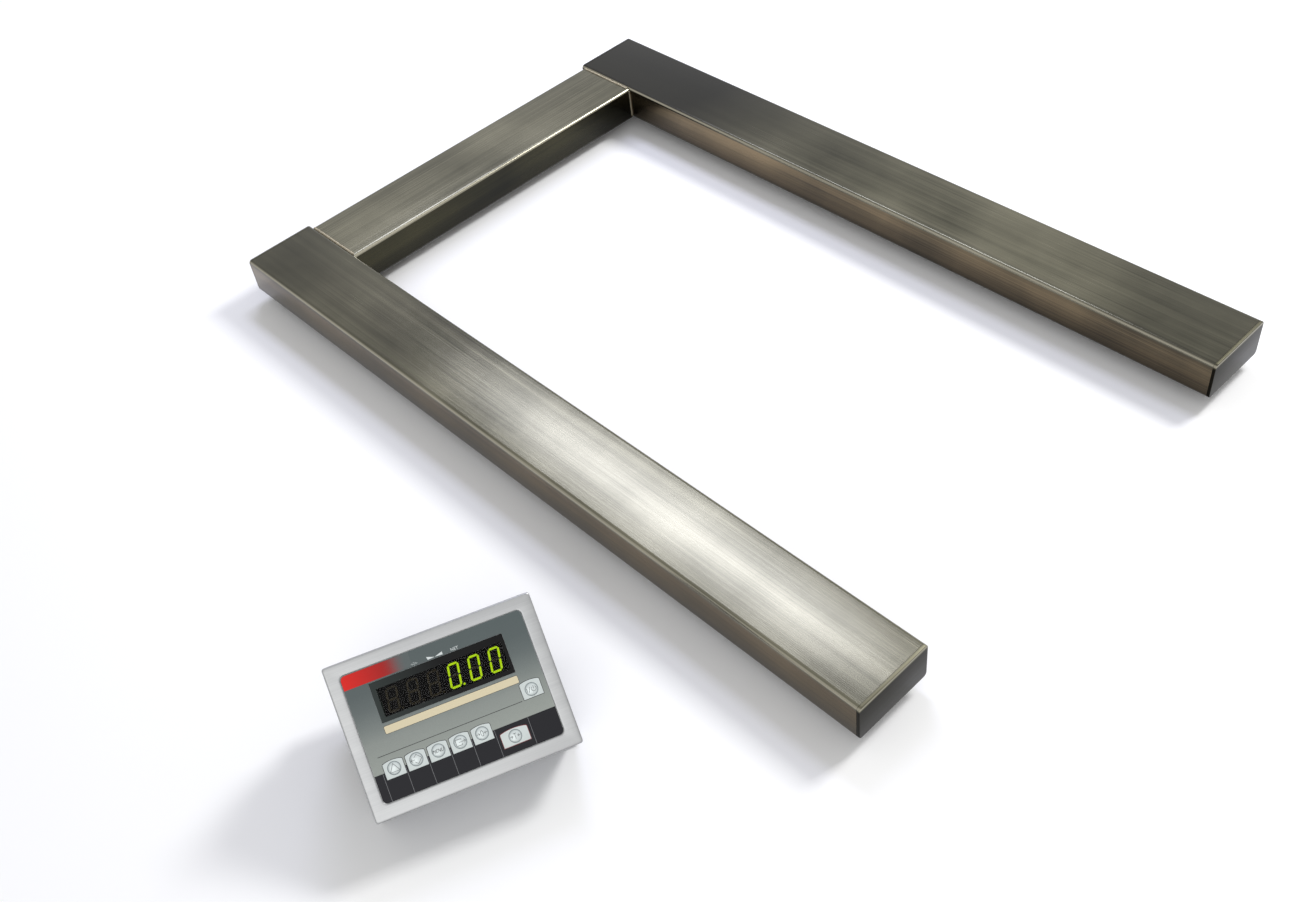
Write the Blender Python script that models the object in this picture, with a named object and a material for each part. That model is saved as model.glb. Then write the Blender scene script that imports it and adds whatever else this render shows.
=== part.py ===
# Pallet scale: a U-shaped platform of stainless tube on four load cells, and a desk indicator.
# Metres, +Z up, the floor at Z = 0. The beams run along X with the open end of the U at +X.

import math

import bmesh
import bpy
from mathutils import Matrix, Vector

for old in list(bpy.data.objects):
    bpy.data.objects.remove(old)

# Platform frame
beam_length = 1.260
platform_width = 0.840
tube_width = 0.120
tube_height = 0.060
tube_wall = 0.003
tube_corner = 0.006
ground_gap = 0.020
crossbar_drop = 0.0025
crossbar_inset = 0.005
end_plate_thickness = 0.004
fit_gap = 0.0003
weld_leg = 0.0045
weld_sink = 0.0004
plate_edge = 0.0006
cable_hole_radius = 0.014
cable_hole_rise = 0.020

# Load cells, with the foot in each cell's free end
foot_from_end = 0.060
cell_length = 0.130
cell_side = 0.032
cell_pocket_length = 0.034
cell_pocket_depth = 0.011
cell_pocket_height = 0.020
cell_pocket_corner = 0.006
cell_pocket_offset = 0.006
cell_edge = 0.0015
cell_end_margin = 0.016
cell_bolt_spacing = 0.025
cell_bolt_radius = 0.005
cell_bolt_head_radius = 0.008
cell_bolt_head_height = 0.010
cell_bolt_engagement = 0.007
washer_thickness = 0.002
spacer_thickness = 0.008
spacer_width = 0.044
thread_clearance = 0.0003
access_slot_width = 0.042
access_slot_margin = 0.008
access_slot_corner = 0.006
cell_gland_radius = 0.005
cell_gland_length = 0.008

# Levelling feet
stud_radius = 0.006
stud_top_margin = 0.006
stud_ball_radius = 0.0055
stud_hex_radius = 0.0075
stud_hex_height = 0.005
locknut_radius = 0.0104
locknut_height = 0.007
pad_radius = 0.019
pad_neck_radius = 0.0095
pad_rim_height = 0.005
pad_height = 0.0125
pad_floor = 0.003
ball_clearance = 0.0003

# Cables of the load cells, inside the tubes
cell_cable_radius = 0.0025
cable_lane = 0.032
cable_lane_spacing = 0.011
cable_step = 0.014
cable_most_steps = 4

# Junction board and its cover in the crossbar's rear wall
cover_length = 0.180
cover_height = 0.044
cover_thickness = 0.002
cover_corner = 0.005
cover_overlap = 0.006
cover_screw_inset = 0.008
cover_screw_length = 0.009
junction_board_length = 0.120
junction_board_width = 0.040
board_thickness = 0.0016
junction_standoff_height = 0.008
junction_standoff_inset = 0.004
terminal_length = 0.018
terminal_depth = 0.011
terminal_height = 0.010
terminal_from_edge = 0.010
gland_offset = 0.140

# Cable glands, on the crossbar and on the indicator
gland_thread_radius = 0.008
gland_flange_radius = 0.0125
gland_flange_height = 0.005
gland_body_radius = 0.0095
gland_body_height = 0.010
gland_dome_length = 0.018
gland_inner_length = 0.010
gland_bore_radius = 0.0035
gland_nut_height = 0.005
housing_gland_spacing = 0.080
housing_gland_from_bottom = 0.064

# Where the indicator stands, from the middle of the platform
indicator_x = 0.330
indicator_y = -0.740
indicator_turn = math.radians(68)
panel_elevation = math.radians(50)

# Indicator housing
housing_width = 0.240
housing_height = 0.178
housing_depth = 0.090
housing_wall = 0.0012
housing_corner = 0.003
flange_width = 0.0065
cover_wall = 0.0015
rim_depth = 0.005
joint_gap = 0.0008
recess_depth = 0.0012
recess_corner = 0.006
film_margin_left = 0.015
film_margin_right = 0.016
film_margin_bottom = 0.017
film_margin_top = 0.015
film_thickness = 0.0007
window_border_left = 0.0074
window_border_right = 0.0044
window_border_bottom = 0.0045
window_border_top = 0.0088
window_lip = 0.002
boss_radius = 0.004
boss_length = 0.012
screw_radius = 0.002
screw_head_radius = 0.0038
screw_head_height = 0.0024
screw_inset = 0.011

# Display and boards
digit_count = 6
digit_pitch = 0.0237
digit_height = 0.0324
digit_depth = 0.007
digit_center_x = 0.0005
digits_from_film_top = 0.0266
digit_behind_cover = 0.0013
digit_groove_width = 0.0006
digit_groove_depth = 0.002
front_board_side_margin = 0.017
front_board_end_margin = 0.025
standoff_radius = 0.003
standoff_inset = 0.006
power_board_width = 0.150
power_board_top_margin = 0.0075
power_standoff_height = 0.008
transformer_width = 0.052
transformer_height = 0.044
transformer_depth = 0.036
transformer_chamfer = 0.003
power_terminal_length = 0.060
transformer_from_edge = 0.006
board_above_glands = 0.004

# Keys: a domed cap, a retaining flange behind the cover and a stem to a switch.
# The columns and lines of the keypad's layout are shares of the film's width and height.
key_row_names = ("test", "units", "menu", "print", "zero")
key_row_start_share = 0.110
key_row_step_share = 0.1206
key_row_line_share = 0.228
tare_column_share = 0.750
tare_line_share = 0.118
power_column_share = 0.914
power_line_share = 0.402
key_radius = 0.0075
key_dome_height = 0.0014
key_clearance = 0.0004
key_flange_radius = 0.0090
key_flange_thickness = 0.0008
key_stem_radius = 0.0024
switch_clearance = 0.0008
switch_side = 0.006
switch_body_height = 0.0035
switch_button_height = 0.001

# Stand of bent sheet
stand_sheet = 0.002
stand_bend_radius = 0.003
stand_front_reach = 0.010
stand_front_lip = 0.005
stand_leg_width = 0.040
stand_rear_strip = 0.030
stand_strut = 0.045
stand_lean = math.radians(65)
stand_lip_from_top = 0.018
stand_lip_length = 0.014
stand_screw_spacing = 0.160
stand_screw_length = 0.009
stand_opening_width = 0.110
stand_opening_height = 0.034
stand_opening_from_bend = 0.016
stand_cut_corner = 0.008
stand_opening_corner = 0.006

round_segments = 16
bore_segments = 12
cut_past = 0.003

# Levels that follow from the sizes above
deck_top = ground_gap + tube_height
inner_top = deck_top - tube_wall
cell_top = inner_top - fit_gap - spacer_thickness - fit_gap
cell_bottom = cell_top - cell_side
half_length = beam_length / 2
half_width = platform_width / 2
beam_center_y = half_width - tube_width / 2
bay_half_width = half_width - tube_width
foot_x = half_length - foot_from_end
crossbar_x = -half_length + crossbar_inset + tube_width / 2
crossbar_rear = crossbar_x - tube_width / 2
crossbar_z = ground_gap + tube_height / 2 - crossbar_drop
cell_outer_end = foot_x + cell_end_margin
cell_inner_end = cell_outer_end - cell_length
cell_bolt_x = [cell_inner_end + cell_end_margin + i * cell_bolt_spacing for i in range(2)]
housing_lift = stand_sheet + fit_gap
recess_back = -recess_depth - cover_wall
film_face = -recess_depth + fit_gap + film_thickness
digit_face = recess_back - digit_behind_cover
board_front = digit_face - digit_depth - fit_gap
housing_front = -rim_depth - joint_gap
film_left = film_margin_left - housing_width / 2
film_right = housing_width / 2 - film_margin_right
film_bottom = film_margin_bottom - housing_height / 2
film_top = housing_height / 2 - film_margin_top
digits_width = digit_count * digit_pitch
digit_center_y = film_top - digits_from_film_top - digit_height / 2
window_left = digit_center_x - digits_width / 2 - window_border_left
window_right = digit_center_x + digits_width / 2 + window_border_right
window_bottom = digit_center_y - digit_height / 2 - window_border_bottom
window_top = digit_center_y + digit_height / 2 + window_border_top
front_board_width = housing_width - 2 * front_board_side_margin
front_board_height = housing_height - 2 * front_board_end_margin
housing_gland_y = housing_gland_from_bottom - housing_height / 2
power_board_bottom = housing_gland_y + gland_flange_radius + board_above_glands
power_board_top = housing_height / 2 - power_board_top_margin
power_board_height = power_board_top - power_board_bottom
power_board_y = (power_board_top + power_board_bottom) / 2


def make_material(name, color, roughness, metallic):
    material = bpy.data.materials.new(name)
    material.use_nodes = True
    shader = material.node_tree.nodes["Principled BSDF"]
    shader.inputs["Base Color"].default_value = (*color, 1)
    shader.inputs["Roughness"].default_value = roughness
    shader.inputs["Metallic"].default_value = metallic
    return material


brushed_steel = make_material("brushed_steel", (0.22, 0.21, 0.17), 0.38, 1)
plate_steel = make_material("plate_steel", (0.18, 0.17, 0.13), 0.42, 1)
satin_steel = make_material("satin_steel", (0.62, 0.62, 0.61), 0.3, 1)
bent_steel = make_material("bent_steel", (0.33, 0.34, 0.36), 0.35, 1)
alloy_steel = make_material("alloy_steel", (0.48, 0.48, 0.5), 0.35, 1)
zinc_steel = make_material("zinc_steel", (0.7, 0.7, 0.68), 0.25, 1)
nickel_brass = make_material("nickel_brass", (0.68, 0.64, 0.55), 0.25, 1)
black_rubber = make_material("black_rubber", (0.025, 0.025, 0.025), 0.8, 0)
cable_sheath = make_material("cable_sheath", (0.05, 0.05, 0.055), 0.55, 0)
board_green = make_material("board_green", (0.02, 0.14, 0.06), 0.45, 0)
digit_black = make_material("digit_black", (0.03, 0.03, 0.025), 0.35, 0)
film_grey = make_material("film_grey", (0.2, 0.23, 0.22), 0.35, 0)
window_black = make_material("window_black", (0.01, 0.01, 0.01), 0.08, 0)
key_white = make_material("key_white", (0.72, 0.74, 0.74), 0.3, 0)


def make_empty(name, parent=None, location=(0, 0, 0), rotation=(0, 0, 0)):
    empty = bpy.data.objects.new(name, None)
    bpy.context.collection.objects.link(empty)
    empty.parent = parent
    empty.location = location
    empty.rotation_euler = rotation
    return empty


def make_object(name, bm, material, parent, location=(0, 0, 0), rotation=(0, 0, 0), smooth=False):
    mesh = bpy.data.meshes.new(name)
    bmesh.ops.recalc_face_normals(bm, faces=bm.faces)
    bm.to_mesh(mesh)
    bm.free()
    if smooth:
        mesh.shade_smooth()
        mesh.set_sharp_from_angle(angle=math.radians(35))
    item = bpy.data.objects.new(name, mesh)
    bpy.context.collection.objects.link(item)
    item.parent = parent
    item.location = location
    item.rotation_euler = rotation
    if material:
        mesh.materials.append(material)
    return item


def add_box(bm, size, center, corner=0, axis=2, segments=3):
    """A box whose four edges along one axis are rounded."""
    place = Matrix.Translation(center) @ Matrix.Diagonal((*size, 1))
    verts = bmesh.ops.create_cube(bm, size=1, matrix=place)["verts"]
    if corner:
        edges = {edge for vert in verts for edge in vert.link_edges}
        along = [e for e in edges if abs((e.verts[0].co - e.verts[1].co)[axis]) > size[axis] / 2]
        bmesh.ops.bevel(bm, geom=along, offset=corner, segments=segments, profile=0.5, affect="EDGES")


def add_cylinder(bm, radius, start, end, segments=round_segments, end_radius=None):
    """A cylinder or cone between two points."""
    start = Vector(start)
    run = Vector(end) - start
    turn = run.to_track_quat("Z", "Y").to_matrix().to_4x4()
    place = Matrix.Translation(start + run / 2) @ turn
    top_radius = radius if end_radius is None else end_radius
    bmesh.ops.create_cone(bm, cap_ends=True, segments=segments, radius1=radius, radius2=top_radius,
                          depth=run.length, matrix=place)


def add_turned(bm, profile, center=(0, 0, 0), segments=round_segments):
    """A solid of revolution about Z, from (radius, height) points that start and end on the axis."""
    verts = [bm.verts.new((center[0] + r, center[1], center[2] + z)) for r, z in profile]
    edges = [bm.edges.new(pair) for pair in zip(verts, verts[1:])]
    bmesh.ops.spin(bm, geom=verts + edges, cent=center, axis=(0, 0, 1), angle=2 * math.pi,
                   steps=segments, use_merge=True)
    bmesh.ops.remove_doubles(bm, verts=bm.verts, dist=0.00001)


def cut(item, cutter_bm):
    """Subtract the solids of a mesh from an object, through a Boolean modifier."""
    cutter = make_object(item.name + "_cutter", cutter_bm, None, item.parent, item.location,
                         item.rotation_euler)
    cutter.hide_render = True
    cutter.display_type = "WIRE"
    modifier = item.modifiers.new("cut", "BOOLEAN")
    modifier.operation = "DIFFERENCE"
    modifier.object = cutter


def add_bevel(item, width, segments=1):
    modifier = item.modifiers.new("edges", "BEVEL")
    modifier.width = width
    modifier.segments = segments
    modifier.limit_method = "ANGLE"
    modifier.angle_limit = math.radians(50)


def corners(half_x, half_y):
    return [(sx * half_x, sy * half_y) for sx in (-1, 1) for sy in (-1, 1)]


def make_beam(name, side, platform):
    """A rectangular tube, with a threaded plate and a slot for each load cell, and a cable hole."""
    length = beam_length - 2 * (end_plate_thickness + fit_gap)
    bm = bmesh.new()
    add_box(bm, (length, tube_width, tube_height), (0, 0, 0), tube_corner, axis=0)
    center = (0, side * beam_center_y, ground_gap + tube_height / 2)
    beam = make_object(name, bm, brushed_steel, platform, center, smooth=True)
    tools = bmesh.new()
    inner = (length + 2 * tube_wall, tube_width - 2 * tube_wall, tube_height - 2 * tube_wall)
    add_box(tools, inner, (0, 0, 0), tube_corner - tube_wall, axis=0)
    cut(beam, tools)
    plates = bmesh.new()
    plate_z = inner_top - center[2]
    plate_height = spacer_thickness + fit_gap
    for end in (-1, 1):
        plate = (cell_bolt_spacing + 2 * cell_end_margin, spacer_width, plate_height + tube_wall / 2)
        add_box(plates, plate, (end * sum(cell_bolt_x) / 2, 0, plate_z + tube_wall / 4 - plate_height / 2))
    add_solid(beam, plates)
    holes = bmesh.new()
    for end in (-1, 1):
        for bolt_x in cell_bolt_x:
            add_cylinder(holes, cell_bolt_radius + thread_clearance,
                         (end * bolt_x, 0, plate_z - 2 * spacer_thickness),
                         (end * bolt_x, 0, plate_z - thread_clearance), bore_segments)
    slot_start = cell_inner_end - access_slot_margin
    slot_end = foot_x + pad_radius + access_slot_margin / 2
    for end in (-1, 1):
        add_box(holes, (slot_end - slot_start, access_slot_width, 4 * tube_wall),
                (end * (slot_start + slot_end) / 2, 0, -tube_height / 2), access_slot_corner)
    hole_z = cable_hole_rise + tube_wall - tube_height / 2
    wall_y = -side * tube_width / 2
    add_cylinder(holes, cable_hole_radius, (crossbar_x, wall_y - 2 * tube_wall, hole_z),
                 (crossbar_x, wall_y + 2 * tube_wall, hole_z))
    cut(beam, holes)


def make_crossbar(platform):
    """The cross tube with its weld beads, the board's standoffs and a service opening at the rear."""
    length = 2 * (bay_half_width - fit_gap)
    bm = bmesh.new()
    add_box(bm, (tube_width, length, tube_height), (0, 0, 0), tube_corner, axis=1)
    crossbar = make_object("crossbar", bm, brushed_steel, platform, (crossbar_x, 0, crossbar_z),
                           smooth=True)
    tools = bmesh.new()
    inner = (tube_width - 2 * tube_wall, length + 2 * tube_wall, tube_height - 2 * tube_wall)
    add_box(tools, inner, (0, 0, 0), tube_corner - tube_wall, axis=1)
    cut(crossbar, tools)
    add_solid(crossbar, weld_beads())
    standoffs = bmesh.new()
    floor = tube_wall - tube_height / 2
    for x, y in corners(junction_board_width / 2 - junction_standoff_inset,
                        junction_board_length / 2 - junction_standoff_inset):
        add_cylinder(standoffs, standoff_radius, (x, y, floor - tube_wall / 2),
                     (x, y, floor + junction_standoff_height), 6)
    add_solid(crossbar, standoffs)
    holes = bmesh.new()
    opening = (4 * tube_wall, cover_length - 4 * cover_screw_inset, cover_height - 2 * cover_overlap)
    add_box(holes, opening, (-tube_width / 2, 0, 0), cover_corner, axis=0)
    for y in cover_screw_places():
        add_cylinder(holes, screw_radius + thread_clearance, (-tube_width / 2 - 2 * tube_wall, y, 0),
                     (-tube_width / 2 + 2 * tube_wall, y, 0), bore_segments)
    add_cylinder(holes, gland_thread_radius + fit_gap, (-tube_width / 2 - 2 * tube_wall, gland_offset, 0),
                 (-tube_width / 2 + 2 * tube_wall, gland_offset, 0))
    cut(crossbar, holes)


def make_end_plate(name, end, side, platform):
    bm = bmesh.new()
    add_box(bm, (end_plate_thickness, tube_width, tube_height), (0, 0, 0), tube_corner, axis=0)
    place = (end * (half_length - end_plate_thickness / 2), side * beam_center_y,
             ground_gap + tube_height / 2)
    plate = make_object(name, bm, plate_steel, platform, place, smooth=True)
    add_bevel(plate, plate_edge)


def add_prism(bm, outline, start, end):
    """A closed outline of 3-D points at start, extruded to end."""
    verts = [bm.verts.new(Vector(start) + Vector(point)) for point in outline]
    face = bm.faces.new(verts)
    run = Vector(end) - Vector(start)
    moved = bmesh.ops.extrude_face_region(bm, geom=[face])["geom"]
    bmesh.ops.translate(bm, vec=run, verts=[v for v in moved if isinstance(v, bmesh.types.BMVert)])


def weld_beads():
    """Beads at both ends of the crossbar, about its centre: along its top edge and up its inner corner."""
    bm = bmesh.new()
    reach = tube_corner + fit_gap
    half_height = tube_height / 2
    corner_z = half_height + crossbar_drop - tube_corner
    low = half_height - weld_sink
    high = half_height + crossbar_drop - fit_gap
    foot_y = tube_corner - math.sqrt(reach ** 2 - (low - corner_z) ** 2)
    crest_y = tube_corner - math.sqrt(reach ** 2 - (high - corner_z) ** 2)
    inner_x = tube_width / 2 - weld_sink
    for side in (-1, 1):
        section = [(foot_y, low), (crest_y, high), (0, high), (-0.6 * weld_leg, (low + high) / 2),
                   (-weld_leg, low)]
        outline = [(0, side * (bay_half_width + y), z) for y, z in section]
        add_prism(bm, outline, (tube_corner - inner_x, 0, 0), (inner_x - tube_corner, 0, 0))
        wall_y = side * (bay_half_width - fit_gap)
        fillet = [(inner_x, wall_y, 0), (inner_x + weld_leg, wall_y, 0),
                  (inner_x + weld_leg / 3, wall_y - side * weld_leg / 3, 0),
                  (inner_x, wall_y - side * weld_leg, 0)]
        add_prism(bm, fillet, (0, 0, tube_corner - half_height), (0, 0, half_height - tube_corner))
    bmesh.ops.recalc_face_normals(bm, faces=bm.faces)
    return bm


def make_load_cell(name, end, side, platform):
    """A shear beam: thin web at mid length, two bolt holes, a foot hole and its cable boss."""
    bm = bmesh.new()
    add_box(bm, (cell_length, cell_side, cell_side), (0, 0, 0), cell_edge, axis=0, segments=1)
    center_x = (cell_inner_end + cell_outer_end) / 2
    place = (end * center_x, side * beam_center_y, (cell_top + cell_bottom) / 2)
    cell = make_object(name, bm, alloy_steel, platform, place)
    tools = bmesh.new()
    for cheek in (-1, 1):
        add_box(tools, (cell_pocket_length, 2 * cell_pocket_depth, cell_pocket_height),
                (end * cell_pocket_offset, cheek * cell_side / 2, 0), cell_pocket_corner, axis=1)
    drill = cell_side / 2 + cut_past
    for bolt_x in cell_bolt_x:
        x = end * (bolt_x - center_x)
        add_cylinder(tools, cell_bolt_radius + thread_clearance, (x, 0, -drill), (x, 0, drill),
                     bore_segments)
    x = end * (foot_x - center_x)
    add_cylinder(tools, stud_radius + thread_clearance, (x, 0, -drill), (x, 0, drill), bore_segments)
    cut(cell, tools)
    boss = bmesh.new()
    boss_x = -end * cell_length / 2
    add_cylinder(boss, cell_gland_radius, (boss_x + end * 0.001, 0, 0),
                 (boss_x - end * cell_gland_length, 0, 0), bore_segments)
    add_solid(cell, boss)


def add_solid(item, bm):
    """Join the solids of a mesh to an object, through a Boolean modifier."""
    extra = make_object(item.name + "_extra", bm, None, item.parent, item.location, item.rotation_euler)
    extra.hide_render = True
    extra.display_type = "WIRE"
    modifier = item.modifiers.new("join", "BOOLEAN")
    modifier.operation = "UNION"
    modifier.object = extra


def beam_ends():
    return [(end, side) for side in (-1, 1) for end in (-1, 1)]


def make_cell_bolts(number, end, side, platform):
    """A load cell's pair of bolts on their common washer plate."""
    seat = cell_bottom - fit_gap
    head_top = seat - washer_thickness + 0.0002
    head_bottom = head_top - cell_bolt_head_height
    tip = cell_top + fit_gap + cell_bolt_engagement
    socket_depth = 0.5 * cell_bolt_head_height
    socket_radius = 0.5 * cell_bolt_head_radius
    middle = end * sum(cell_bolt_x) / 2
    place = (middle, side * beam_center_y, 0)
    bm = bmesh.new()
    washer = (cell_bolt_spacing + 2 * cell_bolt_head_radius, 2 * cell_bolt_head_radius, washer_thickness)
    add_box(bm, washer, (0, 0, seat - washer_thickness / 2), 0.003)
    bolts = make_object(f"cell_bolts_{number}", bm, zinc_steel, platform, place)
    pair = bmesh.new()
    for bolt_x in cell_bolt_x:
        profile = [(0, head_bottom + socket_depth), (socket_radius, head_bottom + socket_depth),
                   (socket_radius, head_bottom), (cell_bolt_head_radius, head_bottom),
                   (cell_bolt_head_radius, head_top), (cell_bolt_radius, head_top),
                   (cell_bolt_radius, tip), (0, tip)]
        add_turned(pair, profile, (end * bolt_x - middle, 0, 0), bore_segments)
    add_solid(bolts, pair)


def make_foot(number, end, side, platform):
    """A levelling foot: a pad with a ball socket, and the stud that turns in it."""
    place = (end * foot_x, side * beam_center_y, 0)
    seat = pad_floor + ball_clearance + stud_ball_radius
    socket = stud_ball_radius + ball_clearance
    mouth = 0.9 * socket
    rise = math.sqrt(socket ** 2 - mouth ** 2)
    profile = [(0, 0), (pad_radius - 0.001, 0), (pad_radius, 0.001), (pad_radius, pad_rim_height),
               (pad_neck_radius, pad_height - 0.001), (pad_neck_radius - 0.001, pad_height)]
    profile.append((mouth, pad_height))
    steps = 5
    start = math.asin(rise / socket)
    for i in range(steps + 1):
        angle = start - (start + math.pi / 2) * i / steps
        profile.append((socket * math.cos(angle) if i < steps else 0, seat + socket * math.sin(angle)))
    bm = bmesh.new()
    add_turned(bm, profile)
    make_object(f"foot_pad_{number}", bm, zinc_steel, platform, place, smooth=True)
    neck = 0.6 * stud_ball_radius
    ball_top = seat + math.sqrt(stud_ball_radius ** 2 - neck ** 2)
    ball = []
    for i in range(steps + 1):
        angle = -math.pi / 2 + (math.acos(neck / stud_ball_radius) + math.pi / 2) * i / steps
        radius = stud_ball_radius * math.cos(angle) if i else 0
        ball.append((radius, seat + stud_ball_radius * math.sin(angle)))
    hex_bottom = max(ball_top, pad_height) + 0.001
    hex_top = hex_bottom + stud_hex_height
    stud_top = cell_top - stud_top_margin
    ball += [(neck, hex_bottom + 0.001), (0, hex_bottom + 0.001)]
    bm = bmesh.new()
    add_turned(bm, ball, segments=bore_segments)
    stud = make_object(f"foot_stud_{number}", bm, zinc_steel, platform, place, smooth=True)
    wrench_flats = bmesh.new()
    add_cylinder(wrench_flats, stud_hex_radius, (0, 0, hex_bottom), (0, 0, hex_top), 6)
    add_solid(stud, wrench_flats)
    shank = bmesh.new()
    add_cylinder(shank, stud_radius, (0, 0, hex_top - 0.001), (0, 0, stud_top), bore_segments)
    add_solid(stud, shank)


def make_foot_locknut(number, end, side, platform):
    top = cell_bottom - fit_gap
    bm = bmesh.new()
    add_cylinder(bm, locknut_radius, (0, 0, top - locknut_height), (0, 0, top), 6)
    place = (end * foot_x, side * beam_center_y, 0)
    nut = make_object(f"foot_locknut_{number}", bm, zinc_steel, platform, place)
    bore = bmesh.new()
    add_cylinder(bore, stud_radius + thread_clearance, (0, 0, top - locknut_height - cut_past),
                 (0, 0, top + cut_past), bore_segments)
    cut(nut, bore)


def smooth_route(points, step):
    """Points about one step apart along a smooth curve that never dips below the points it joins."""
    knots = [Vector(p) for p in points]
    ends = [2 * knots[0] - knots[1]] + knots + [2 * knots[-1] - knots[-2]]
    route = []
    for before, start, finish, after in zip(ends, ends[1:], ends[2:], ends[3:]):
        count = min(cable_most_steps, max(1, round((finish - start).length / step)))
        for i in range(count):
            t = i / count
            point = 0.5 * (2 * start + (finish - before) * t
                           + (2 * before - 5 * start + 4 * finish - after) * t ** 2
                           + (3 * start - before - 3 * finish + after) * t ** 3)
            point.z = max(point.z, min(start.z, finish.z))
            route.append(point)
    return route + [knots[-1]]


def cell_cable_route(end, side):
    """A load cell's cable: along the beam beside the cells, through its hole and to a terminal."""
    lift = cell_cable_radius + fit_gap
    beam_floor = ground_gap + tube_wall + lift
    cross_floor = crossbar_z - tube_height / 2 + tube_wall + lift
    cell_z = (cell_top + cell_bottom) / 2
    start_x = end * (cell_inner_end - cell_gland_length - fit_gap)
    lane_x = crossbar_x - end * cable_lane_spacing / 2
    hole_z = ground_gap + tube_wall + cable_hole_rise
    if end > 0:
        lane = cable_lane
        run = [(start_x, 0, cell_z), (start_x - 0.03, 0, cell_z - 0.005),
               (start_x - 0.10, 0, beam_floor), (start_x - 0.25, 0.004, beam_floor),
               (0, 0.010, beam_floor), (-start_x + 0.18, 0.7 * lane, beam_floor),
               (-start_x + 0.08, lane, beam_floor)]
    else:
        lane = cable_lane + cable_lane_spacing
        run = [(start_x, 0, cell_z), (start_x + 0.016, 0.002, cell_z),
               (start_x + 0.034, 0.014, cell_z - 0.004), (start_x + 0.033, 0.034, cell_z - 0.010),
               (start_x + 0.012, lane, cell_z - 0.017), (start_x - 0.035, lane, beam_floor)]
    run += [(lane_x + 0.050, lane, beam_floor), (lane_x + 0.022, lane + 0.001, (beam_floor + hole_z) / 2)]
    beam_run = [(x, side * (beam_center_y - offset), z) for x, offset, z in run]
    board_top = cross_floor - lift + junction_standoff_height + fit_gap + board_thickness
    entry_x = crossbar_x - end * terminal_offset()
    entry_y = terminal_place() + terminal_length / 2 + fit_gap
    entry_z = board_top + terminal_height / 2
    wall_y = bay_half_width + tube_wall / 2
    cross_run = [(lane_x, wall_y, hole_z), (lane_x, wall_y - 0.02, hole_z - 0.004),
                 (lane_x, wall_y - 0.07, cross_floor), (lane_x, (wall_y + entry_y) / 2, cross_floor),
                 (lane_x, entry_y + 0.05, cross_floor), (entry_x, entry_y + 0.018, entry_z - 0.001),
                 (entry_x, entry_y, entry_z)]
    return beam_run + [(x, side * y, z) for x, y, z in cross_run]


def make_cell_cable(number, end, side, platform):
    curve = bpy.data.curves.new(f"cell_cable_{number}", "CURVE")
    curve.dimensions = "3D"
    curve.bevel_depth = cell_cable_radius
    curve.bevel_resolution = 2
    curve.use_fill_caps = True
    curve.resolution_u = 1
    curve.render_resolution_u = 1
    points = smooth_route(cell_cable_route(end, side), cable_step)
    spline = curve.splines.new("POLY")
    spline.points.add(len(points) - 1)
    for slot, point in zip(spline.points, points):
        slot.co = (*point, 1)
    curve.materials.append(cable_sheath)
    cable = bpy.data.objects.new(f"cell_cable_{number}", curve)
    bpy.context.collection.objects.link(cable)
    cable.parent = platform


def terminal_offset():
    return junction_board_width / 2 - terminal_depth


def terminal_place():
    return junction_board_length / 2 - terminal_length / 2 - terminal_from_edge


def cover_screw_places():
    return [end * (cover_length / 2 - cover_screw_inset) for end in (-1, 1)]


def make_access_cover(platform):
    """The plate over the crossbar's service opening and its two screws."""
    cover_x = crossbar_rear - fit_gap - cover_thickness / 2
    bm = bmesh.new()
    add_box(bm, (cover_thickness, cover_length, cover_height), (0, 0, 0), cover_corner, axis=0)
    cover = make_object("access_cover", bm, satin_steel, platform, (cover_x, 0, crossbar_z), smooth=True)
    tools = bmesh.new()
    for y in cover_screw_places():
        add_cylinder(tools, screw_radius + thread_clearance, (-cover_thickness, y, 0),
                     (cover_thickness, y, 0), bore_segments)
    cut(cover, tools)
    head = cover_x - cover_thickness / 2 - fit_gap
    for number, y in enumerate(cover_screw_places(), 1):
        make_screw(f"access_cover_screw_{number}", platform, (head, y, crossbar_z), (0, math.pi / 2, 0),
                   cover_screw_length)


def make_screw(name, parent, seat, rotation, length):
    """A domed screw whose head stands on its seat, with its shank along its own +Z."""
    top = -screw_head_height
    profile = [(0, top), (0.55 * screw_head_radius, top + 0.15 * screw_head_height),
               (screw_head_radius, 0.35 * top), (screw_head_radius, 0), (screw_radius, 0),
               (screw_radius, length - 0.0005), (screw_radius - 0.0005, length), (0, length)]
    bm = bmesh.new()
    add_turned(bm, profile, segments=bore_segments)
    make_object(name, bm, zinc_steel, parent, seat, rotation, smooth=True)


def make_junction_board(platform):
    """The summing board, with a terminal block for each load cell."""
    floor = crossbar_z - tube_height / 2 + tube_wall
    board_z = floor + junction_standoff_height + fit_gap + board_thickness / 2
    bm = bmesh.new()
    add_box(bm, (junction_board_width, junction_board_length, board_thickness), (0, 0, 0))
    board = make_object("junction_board", bm, board_green, platform, (crossbar_x, 0, board_z))
    blocks = bmesh.new()
    for end in (-1, 1):
        for side in (-1, 1):
            place = (end * terminal_offset(), side * terminal_place(), terminal_height / 2)
            block = (terminal_depth, terminal_length, terminal_height + board_thickness / 2)
            add_box(blocks, block, place)
    add_solid(board, blocks)


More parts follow.
